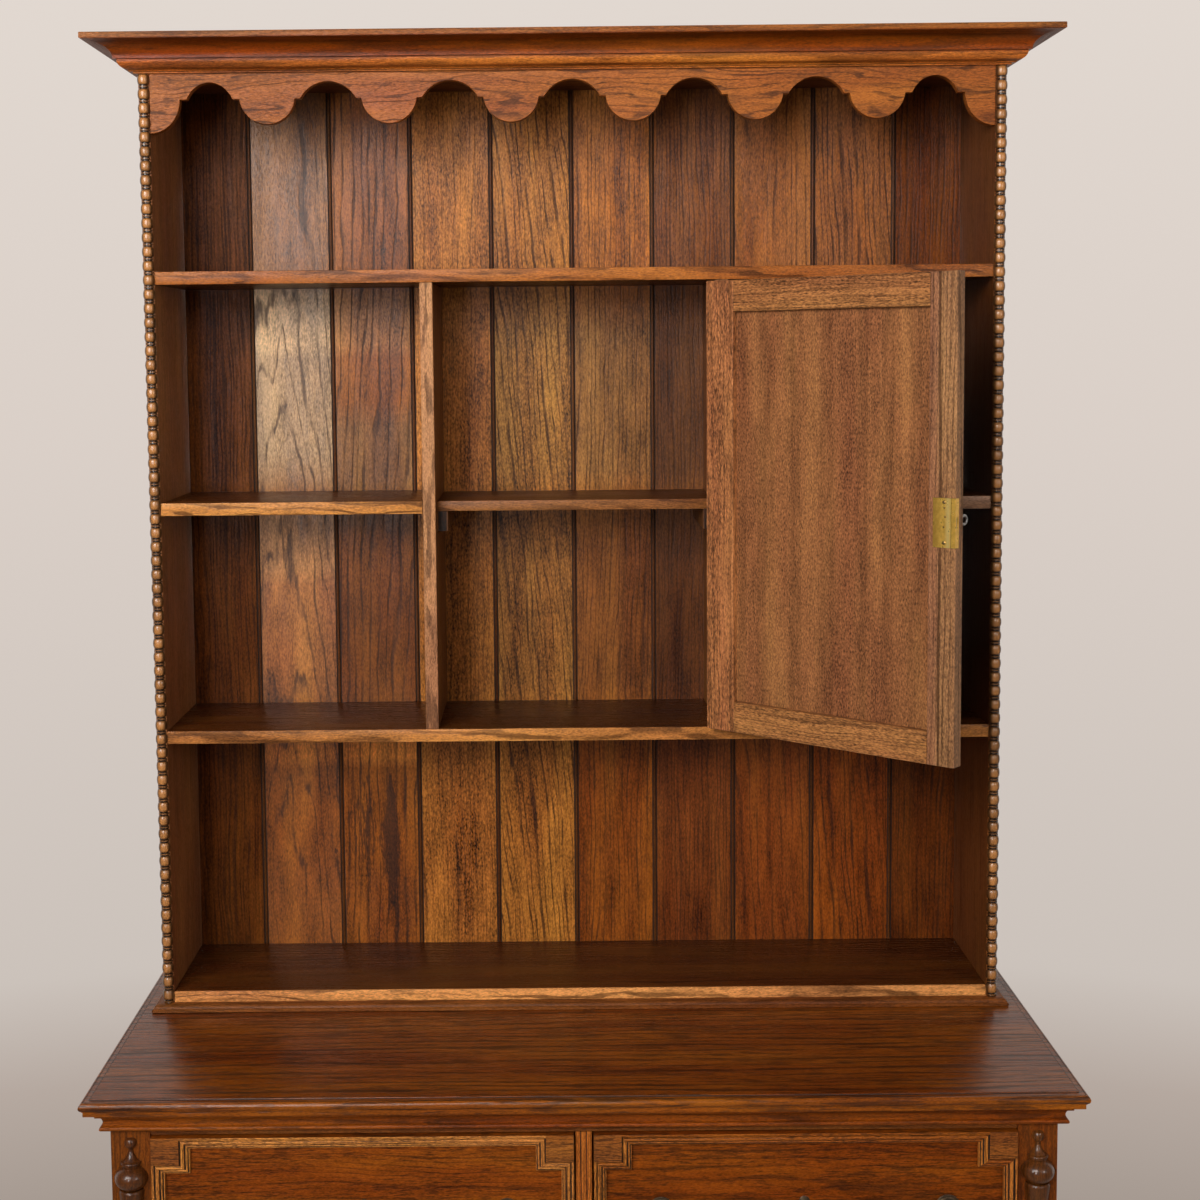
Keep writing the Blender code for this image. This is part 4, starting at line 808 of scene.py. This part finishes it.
def door_brass(steel):
    brass = metal("brass", (0.86, 0.58, 0.17), (0.30, 0.17, 0.040), 0.30, wear=0.5, sheen=0.7)
    pin = metal("brass_screw", (0.34, 0.22, 0.075), (0.06, 0.035, 0.012), 0.42)
    # The keyhole floor and screw slots take a near-black: painted shade in the holes, with dirt there too.
    shade_and_dirt = shadow_line("keyhole_dark")
    for node in ("hinge_upper_door_leaf", "hinge_lower_door_leaf", "hinge_upper_frame_leaf", "hinge_lower_frame_leaf"):
        dress(node, brass)
    free, inner, middle = -0.1860, RACK_FRONT + 0.0183, BASE_HEIGHT + 0.691
    dress("lock_case", lock_brass(free, middle))
    heads = [screw_head(free + 0.0153, inner, middle + z, 0.0023, 1, turn) for z, turn in ((0.0250, 0.5), (-0.0240, 2.2))]
    piece("lock_screws", opened(together(heads)), [pin, shade_and_dirt], "door")
    rivets = []
    for x, z in ((0.0150, 0.0185), (0.0140, 0.0075), (0.0158, -0.0050)):
        dome = [(0.0, 0.0013), (0.0004, 0.0012), (0.0008, 0.0008), (0.0010, 0.0003)]
        rivets.append(turned(dome, (free + x, inner, middle + z), 14, "y"))
    piece("lock_rivets", opened(together(rivets)), [pin], "door")
    oval = [(0.0075 * cos(2 * pi * i / 40), 0.0125 * sin(2 * pi * i / 40)) for i in range(40)]
    plate = keyhole_plate((free + 0.016, RACK_FRONT, middle), oval, -1, 0.0011)
    piece("door_escutcheon", opened(plate), [brass, shade_and_dirt], "door")
    key_axis = (free + 0.016, 0.0, middle)
    neck = RACK_FRONT - 0.0235
    shank = smooth_profile([(RACK_FRONT + 0.0140, 0.0017), (RACK_FRONT + 0.013, 0.0020), (RACK_FRONT - 0.014, 0.0020),
                            (RACK_FRONT - 0.0150, 0.0030), (RACK_FRONT - 0.0165, 0.0033), (RACK_FRONT - 0.018, 0.0028),
                            (RACK_FRONT - 0.019, 0.0021), (neck - 0.0008, 0.0022)], 4)
    stem = turned(shank, key_axis, 18, "y")
    bow = bmesh.new()
    rows = []
    for i in range(40):
        t = 2 * pi * i / 40
        row = []
        for j in range(12):
            s = 2 * pi * j / 12
            along = (0.0068 + 0.0017 * cos(s)) * cos(t)
            tall = (0.0052 + 0.0017 * cos(s)) * sin(t)
            row.append(bow.verts.new((key_axis[0] + 0.0016 * sin(s), neck - 0.0070 + along, middle + tall)))
        rows.append(row)
    for i in range(40):
        for j in range(12):
            low, high, k = rows[i], rows[(i + 1) % 40], (j + 1) % 12
            bow.faces.new((low[j], low[k], high[k], high[j]))
    bmesh.ops.recalc_face_normals(bow, faces=bow.faces)
    piece("lock_key", opened(together([stem, bow])), [steel], "key", node="key", smooth=50)


# Base
def base_top():
    nose, quirk, low = 0.0056, 0.0062, TOP_LOW.z
    shelf = low + 0.0065 + 2 * nose
    profile = [(-0.0045, low), (-0.0045, low + 0.0060), (-0.0033, low + 0.0062)]
    profile += arc((-nose, low + 0.0065 + nose), nose, -64, 88, 14)
    profile += [(-nose - quirk + 0.0012, shelf), (-nose - quirk + 0.0003, shelf - 0.0003), (-nose - quirk, BASE_HEIGHT - 0.0009)]
    profile += arc((-nose - quirk - 0.0008, BASE_HEIGHT - 0.0008), 0.0008, 20, 90, 3)
    form = moulded_slab(profile, TOP_HIGH.x, TOP_LOW.y, TOP_HIGH.y)
    for face in form.faces:
        spot = face.calc_center_median()
        face.material_index = int(abs(spot.z - shelf) < 0.0003 and len(face.verts) == 4 and face.calc_area() < 0.0016)
    material = oak("oak_base_top", "xyz", (0.218, 0.049, 0.0050), 80, (0.22, BASE_HEIGHT - 0.06), ring=0.0140, taper=0.012,
                   figure=0.85, band=0.24, mottle=0.6, rough=0.22, gloss=0.34, pores=0.7, speck=(24.0, 300.0),
                   edges=[("y", TOP_LOW.y, 0.0100, (0.275, 0.070, 0.005))])
    piece("base_top_board", form, [material, shadow_line("top_quirk")], node="base_top")


def under_top_moulding():
    high = Vector(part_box("under_top_moulding")[1])
    root, lip, bead, fillet = 0.0073, 0.0155, 0.0029, 0.0075
    bead_z = BASE_HEIGHT - 0.0432
    cove = lip - root
    profile = [(GAP, high.z), (lip, high.z), (lip, high.z - fillet)]
    profile += arc((lip, high.z - fillet - cove), cove, 100, 180, 12)
    profile += [(root + 0.0003, bead_z + bead + 0.0012)]
    profile += arc((root + 0.4 * bead, bead_z), bead, 80, -80, 10)
    profile += [(GAP, bead_z - bead)]
    front = oak("oak_under_top", "xzy", (0.272, 0.060, 0.0040), 82, (0.70, -0.1), ring=0.006, taper=0.01, figure=0.6)
    sides = oak("oak_under_top_return", "yzx", (0.272, 0.060, 0.0040), 83, (0.70, 0.7), ring=0.006, figure=0.6)
    form = mitred_run(profile, CARCASS_HALF, CARCASS_FRONT, CARCASS_BACK)
    piece("under_top_run", form, [front, sides], node="under_top_moulding")


def leg_ring(x, y, z, half, square, sides=32):
    ring = []
    for i in range(sides):
        a, b = cos(2 * pi * i / sides), sin(2 * pi * i / sides)
        stretch = half / max(abs(a), abs(b)) if square else half
        ring.append((x + a * stretch, y + b * stretch, z))
    return ring


def front_legs():
    half = (LEG_HIGH.x - LEG_LOW.x) / 2
    y = (LEG_LOW.y + LEG_HIGH.y) / 2
    block_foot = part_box("bottom_rail")[0][2] - 0.018
    foot_top, low_top, balls = 0.085, 0.190, 6
    pitch = (block_foot - low_top) / balls
    foot = smooth_profile([(0.0, 0.6), (0.008, 0.82), (0.026, 1.0), (0.05, 0.9), (0.066, 0.5), (foot_top, 0.62)], 5)
    for side, word in ((-1, "left"), (1, "right")):
        x = side * (LEG_LOW.x + LEG_HIGH.x) / 2
        rings = [leg_ring(x, y, z, share * half, False) for z, share in foot]
        rings += [leg_ring(x, y, foot_top, half, True), leg_ring(x, y, low_top, half, True)]
        for ball in range(balls):
            for k in range(11):
                u = -0.97 + 1.92 * k / 10
                rings.append(leg_ring(x, y, low_top + (ball + 0.5 + u / 2) * pitch,
                                      half * (0.55 + 0.42 * sqrt(1 - u * u)), False))
        rings.append(leg_ring(x, y, block_foot, half * 0.6, False))
        rings += [leg_ring(x, y, block_foot, half, True), leg_ring(x, y, LEG_HIGH.z, half, True)]
        material = oak(f"oak_front_leg_{word}", "zxy", (0.215, 0.050, 0.0050), 90 + side, (side * 0.50, y + 0.03),
                       ring=0.0048, taper=0.008, figure=0.55, mottle=0.32)
        piece(f"turned_leg_{word}", loft(rings), [material], node=f"front_leg_{word}", smooth=40)


def split_balusters():
    material = oak("oak_baluster", "zxy", (0.125, 0.036, 0.0060), 95, (0.30, -0.1), ring=0.005, figure=0.5, rough=0.3,
                   gloss=0.25, coat=0.6, dark=(0.018, 0.006, 0.0022))
    low, high = (Vector(corner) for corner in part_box("split_baluster_right"))
    top, foot = high.z, low.z
    ball_z, ball = top - 0.0505, 0.0205
    profile = smooth_profile([(top, 0.003), (top - 0.0012, 0.0058), (top - 0.005, 0.0074), (top - 0.009, 0.0072),
                              (top - 0.0125, 0.0048), (top - 0.0135, 0.0030), (top - 0.018, 0.0034),
                              (top - 0.024, 0.0062), (top - 0.029, 0.0104)], 4)
    profile += [(top - 0.0293, 0.0122)] + arc((top - 0.0311, 0.0108), 0.0022, 30, 150, 6) + [(top - 0.0330, 0.0118)]
    profile += [(ball_z + 0.0165 * sin(t), ball * cos(t)) for t in [pi / 3.1 - i * 2 * pi / 3.1 / 16 for i in range(17)]]
    profile += smooth_profile([(top - 0.0648, 0.0144), (top - 0.0665, 0.0152), (top - 0.0720, 0.0153), (top - 0.115, 0.0105),
                               (foot + 0.030, 0.0058), (foot + 0.022, 0.0046)], 5)
    profile += smooth_profile([(foot + 0.0205, 0.0070), (foot + 0.016, 0.0094), (foot + 0.010, 0.0096), (foot + 0.003, 0.0070),
                               (foot, 0.0030)], 4)
    x = (low.x + high.x) / 2
    for side, word in ((-1, "left"), (1, "right")):
        piece(f"baluster_{word}", turned(profile, (side * x, high.y, 0.0), 20, half=True), [material],
              node=f"split_baluster_{word}", smooth=40)


def carcass_joinery():
    for seed, (node, lay, pith) in enumerate((
            ("top_rail", "xzy", (0.60, -0.15)), ("bottom_rail", "xzy", (0.40, -0.15)),
            ("side_panel_left", "zyx", (0.02, -0.50)), ("side_panel_right", "zyx", (0.02, 0.50)),
            ("back_leg_left", "zxy", (-0.45, 0.3)), ("back_leg_right", "zxy", (0.45, 0.3)),
            ("stretcher_front", "xzy", (0.0, -0.2)), ("stretcher_left", "yzx", (0.0, -0.5)),
            ("stretcher_right", "yzx", (0.0, 0.5)))):
        dress(node, oak(f"oak_{node}", lay, (0.225, 0.066, 0.0125), 100 + seed, pith, ring=0.0055, taper=0.015, figure=0.55,
                        mottle=0.3))
    for seed, (node, lay, pith) in enumerate((("pot_board", "xyz", (0.02, 0.10)), ("base_back", "xzy", (0.62, 0.32)),
                                              ("dust_board", "xyz", (0.0, 0.48)))):
        dress(node, oak(f"oak_{node}", lay, (0.18, 0.066, 0.019), 115 + seed, pith, ring=0.0075, taper=0.04, figure=0.5,
                        mottle=0.3, rough=0.42))


def reeded_muntin():
    """The upright between the drawers, with three reeds on its face."""
    low, high = (Vector(corner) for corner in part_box("muntin"))
    reed = (high.x - low.x) / 6
    outline = [(high.x, high.y), (low.x, high.y)]
    for i in range(3):
        middle = low.x + reed * (2 * i + 1)
        outline += [(middle + 0.86 * a, b) for a, b in arc((0.0, low.y + 0.0022), reed, 200, 340, 10)]
        outline[-11:] = [(x, low.y + max(0.0, (y - low.y) * 0.55 + 0.0008)) for x, y in outline[-11:]]
        if i < 2:
            outline += [(middle + 0.88 * reed, low.y + 0.0022), (middle + 1.12 * reed, low.y + 0.0022)]
    form = loft([[(x, y, z) for x, y in outline] for z in (low.z, high.z)])
    for face in form.faces:
        spot = face.calc_center_median()
        face.material_index = int(any(abs(spot.x - low.x - reed * k) < 0.13 * reed for k in (2, 4)) and spot.y < high.y - 0.002)
    material = oak("oak_muntin", "zxy", (0.54, 0.152, 0.022), 99, (0.30, -0.2), ring=0.004, taper=0.006, figure=0.6)
    piece("muntin_reeds", form, [material, shadow_line("muntin_quirk")], node="muntin")


# Drawers
def notched(x0, x1, z0, z1, strip, corner, y):
    """A rectangle whose corners step in round a square block, as twelve points."""
    return [
        (x0 + strip, y, z0 + corner), (x0 + corner, y, z0 + corner), (x0 + corner, y, z0 + strip),
        (x1 - corner, y, z0 + strip), (x1 - corner, y, z0 + corner), (x1 - strip, y, z0 + corner),
        (x1 - strip, y, z1 - corner), (x1 - corner, y, z1 - corner), (x1 - corner, y, z1 - strip),
        (x0 + corner, y, z1 - strip), (x0 + corner, y, z1 - corner), (x0 + strip, y, z1 - corner),
    ]


def squared(x0, x1, z0, z1, corner, y):
    """The same twelve points on a plain rectangle."""
    return [
        (x0, y, z0 + corner), (x0, y, z0), (x0 + corner, y, z0),
        (x1 - corner, y, z0), (x1, y, z0), (x1, y, z0 + corner),
        (x1, y, z1 - corner), (x1, y, z1), (x1 - corner, y, z1),
        (x0 + corner, y, z1), (x0, y, z1), (x0, y, z1 - corner),
    ]


def drawer_fronts():
    """Mitred reeds run round square corner blocks and a sunk field."""
    corner, strip = 0.0345, 0.0030
    reeds = [(0.0, 0.0004), (0.0002, 0.0034), (0.0012, 0.0034)]
    reeds += [(0.0038 + a, 0.0032 - b) for a, b in arc((0, 0), 0.0025, 172, 8, 8)]
    reeds += [(0.0064, 0.0048), (0.0074, 0.0048)]
    reeds += [(0.0088 + a, 0.0052 - b) for a, b in arc((0, 0), 0.0013, 165, 15, 5)]
    reeds += [(0.0102, 0.0068), (0.0110, 0.0068), (0.0112, 0.0060), (0.0122, 0.0064), (0.0124, 0.0120)]
    grooves = (3, 4, 14, 15, 16, 22, 23, 24)
    quirk = shadow_line("drawer_quirk")
    for side, word in ((-1, "left"), (1, "right")):
        low, high = (Vector(c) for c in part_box(f"drawer_{word}_front"))
        span = (low.x, high.x, low.z, high.z)
        rings = [squared(*span, corner, high.y), squared(*span, corner, low.y + 0.0008)]
        rings += [notched(*span, 0.0008, corner - 0.0006, low.y)]
        rings += [notched(*span, strip + inset, corner + inset, low.y + depth) for inset, depth in reeds]
        form = loft(rings)
        field = low.y + 0.0119
        middle = (low.x + high.x) / 2
        for number, face in enumerate(form.faces):
            spot = face.calc_center_median()
            run = max((e.verts[0].co - e.verts[1].co for e in face.edges), key=lambda d: d.length)
            in_x, in_z = abs(spot.x - middle) - (high.x - low.x) / 2, abs(spot.z - (low.z + high.z) / 2) - (high.z - low.z) / 2
            if number // 12 in grooves:
                face.material_index = 4
            elif spot.y > field:
                face.material_index = 0
            elif in_x > -corner and in_z > -corner:
                face.material_index = 3
            else:
                face.material_index = 1 if abs(run.x) > abs(run.z) else 2
        tone = ((0.265, 0.061, 0.0052), (0.243, 0.053, 0.0042))[side > 0]
        field_oak = oak(f"oak_drawer_{word}", "xzy", tone, 120 + side, (0.62 + 0.05 * side, low.y + 0.06), ring=0.0068,
                        taper=0.012, figure=0.6, band=0.22, pores=0.7, speck=(60.0, 560.0), gloss=0.08)
        tone = ((0.74, 0.285, 0.057), (0.36, 0.095, 0.011))[side > 0]
        reed_x = oak(f"oak_reed_x_{word}", "xzy", tone, 123 + side, (0.4, -0.2), ring=0.003, taper=0.006,
                     figure=0.7, pores=0.7, mottle=0.4)
        tone = ((0.60, 0.215, 0.042), (0.50, 0.160, 0.027))[side > 0]
        reed_z = oak(f"oak_reed_z_{word}", "zxy", tone, 126 + side, (side * 0.8, -0.2), ring=0.003,
                     taper=0.006, figure=0.7, pores=0.7, mottle=0.4)
        block = oak(f"oak_block_{word}", "xzy", (0.300, 0.092, 0.0150), 129 + side, (0.5, -0.25), ring=0.0040, taper=0.02,
                    figure=0.7, pores=0.7, mottle=0.5, sway=0.05)
        piece(f"drawer_{word}_face", form, [field_oak, reed_x, reed_z, block, quirk], body=f"drawer_{word}",
              node=f"drawer_{word}_front", smooth=32)
        dress(f"drawer_{word}_box", oak(f"oak_lining_{word}", "yzx", (0.42, 0.25, 0.125), 135 + side, (0.66, side * 0.3),
                                        ring=0.007, taper=0.01, figure=0.35, pores=0.4, rough=0.58))


def drawer_hardware(bronze):
    """Turned roses with a fork and pin, pear drops, and pierced escutcheons."""
    # The keyhole floor takes a near-black: painted shade in the hole, with dirt there too.
    shade_and_dirt = shadow_line("drawer_keyhole_dark")
    field = CARCASS_FRONT + 0.004
    rose = smooth_profile([(0.0, 0.0160), (0.0009, 0.0160), (0.0014, 0.0150), (0.0015, 0.0134), (0.0024, 0.0120),
                           (0.0026, 0.0094), (0.0033, 0.0080), (0.0036, 0.0050), (0.0036, 0.0008)], 3)
    pear = smooth_profile([(-0.0030, 0.0016), (-0.0065, 0.0017), (-0.0075, 0.0027), (-0.0088, 0.0027), (-0.0098, 0.0019),
                           (-0.016, 0.0027), (-0.026, 0.0053), (-0.0345, 0.0075), (-0.0395, 0.0072), (-0.0430, 0.0046),
                           (-0.0445, 0.0024), (-0.0462, 0.0022), (-0.0480, 0.0027), (-0.0494, 0.0020), (-0.0500, 0.0006)], 4)
    for side, word in ((-1, "left"), (1, "right")):
        low, high = (Vector(c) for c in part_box(f"drawer_{word}_front"))
        middle, z = (low.x + high.x) / 2, (low.z + high.z) / 2
        plate = keyhole_plate((middle, field - 0.0001, z), shield(0.022, 0.030), -1, 0.0016)
        piece(f"drawer_{word}_escutcheon", plate, [bronze, shade_and_dirt], f"drawer_{word}", smooth=40)
        for place in "ab":
            node_low, node_high = (Vector(c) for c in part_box(f"drawer_{word}_plate_{place}"))
            x = (node_low.x + node_high.x) / 2
            pivot = Vector((x, field - 0.0135, z + 0.006))
            forms = [turned([(-d, r) for d, r in rose], (x, field - GAP, z), 40, "y")]
            for sign in (-1, 1):
                lug = [(pivot.y + 0.0028 * cos(t), pivot.z + 0.0028 * sin(t)) for t in
                       [pi / 2 + pi * i / 10 for i in range(11)]]
                lug += [(field - 0.0025, pivot.z - 0.0028), (field - 0.0025, pivot.z + 0.0028)]
                forms.append(loft([[(x + sign * d, a, b) for a, b in lug] for d in (0.0024, 0.0046)]))
            forms.append(turned([(-0.0054, 0.0009), (-0.0050, 0.0013), (0.0050, 0.0013), (0.0054, 0.0009)], pivot, 14, "x"))
            piece(f"drawer_{word}_rose_{place}", together(forms), [bronze], f"drawer_{word}",
                  node=f"drawer_{word}_plate_{place}", smooth=40)
            eye = []
            for i in range(24):
                t = 2 * pi * i / 24
                eye.append([(pivot.x + 0.0013 * sin(a), pivot.y + (0.0029 + 0.0011 * cos(a)) * cos(t),
                             pivot.z + (0.0029 + 0.0011 * cos(a)) * sin(t)) for a in [2 * pi * k / 8 for k in range(8)]])
            ring = bmesh.new()
            rows = [[ring.verts.new(spot) for spot in row] for row in eye]
            for i, row in enumerate(rows):
                after = rows[(i + 1) % 24]
                for k in range(8):
                    ring.faces.new((row[k], row[(k + 1) % 8], after[(k + 1) % 8], after[k]))
            bmesh.ops.recalc_face_normals(ring, faces=ring.faces)
            drop = together([turned(pear, pivot, 24), ring])
            piece(f"drawer_{word}_pear_{place}", drop, [bronze], f"drawer_{word}_drop_{place}",
                  node=f"drawer_{word}_drop_{place}", smooth=50)


add_camera()
add_world()
add_lamp("key", (-1.1, -2.7, 2.65), (0.0, 0.1, 1.75), (2.2, 1.2), 19.3, (1.0, 0.965, 0.93), 75.0)
add_lamp("fill", (2.2, -2.8, 2.4), (0.0, 0.1, 2.0), (2.0, 1.8), 4.2, (1.0, 0.97, 0.95), 80.0)
add_lamp("window", (-0.99, -3.75, 1.50), (-0.4, 0.2, 1.6), (0.36, 0.62), 20.0, (0.95, 0.97, 1.0))
add_lamp("softbox_left", (-2.0, -2.6, 1.85), (0.0, 0.1, 1.3), (0.40, 0.40), 9.0, (1.0, 0.98, 0.96))
add_lamp("softbox_right", (2.1, -2.6, 1.85), (0.0, 0.1, 1.3), (0.40, 0.40), 6.0, (1.0, 0.98, 0.96))
add_lamp("rear", (0.0, 3.2, 1.5), (0.0, 0.3, 1.2), (1.2, 1.4), 30.0, (1.0, 0.97, 0.94))

matchboards()
frieze()
cornice()
rack_plinth()
bobbin_strips()
rack_joinery()
door_boards()
STEEL = metal("steel", (0.46, 0.45, 0.43), (0.13, 0.11, 0.095), 0.34)
door_brass(STEEL)
base_top()
under_top_moulding()
front_legs()
split_balusters()
carcass_joinery()
reeded_muntin()
drawer_fronts()

drawer_hardware(metal("dark_bronze", (0.115, 0.075, 0.045), (0.022, 0.014, 0.009), 0.42))
dress("lock_bolt", STEEL)

floor_form = bmesh.new()
bmesh.ops.create_circle(floor_form, cap_ends=True, radius=1.5, segments=96)
floor_mesh = bpy.data.meshes.new("floor")
floor_form.to_mesh(floor_mesh)
floor_form.free()
floor_paint = Paint("pale_floor")
floor_grain = floor_paint.noise(floor_paint.place(), (6.0, 6.0, 6.0), 3.0)
floor_paint.shader.inputs["Emission Color"].default_value = (0.75, 0.66, 0.57, 1.0)
floor_paint.feed(floor_paint.shader.inputs["Emission Strength"], floor_paint.math(
    "MULTIPLY", floor_paint.add("ShaderNodeLightPath").outputs["Is Camera Ray"], 0.35))
floor_mesh.materials.append(floor_paint.finish(
    floor_paint.mix(floor_grain, (0.60, 0.55, 0.50), (0.66, 0.61, 0.555)), 0.75, floor_grain, 0.0004, 0.2))
floor = bpy.data.objects.new("floor", floor_mesh)
floor.location = (0.0, -0.55, CAD_BOX[0][2] - 0.0005)
bpy.context.collection.objects.link(floor)
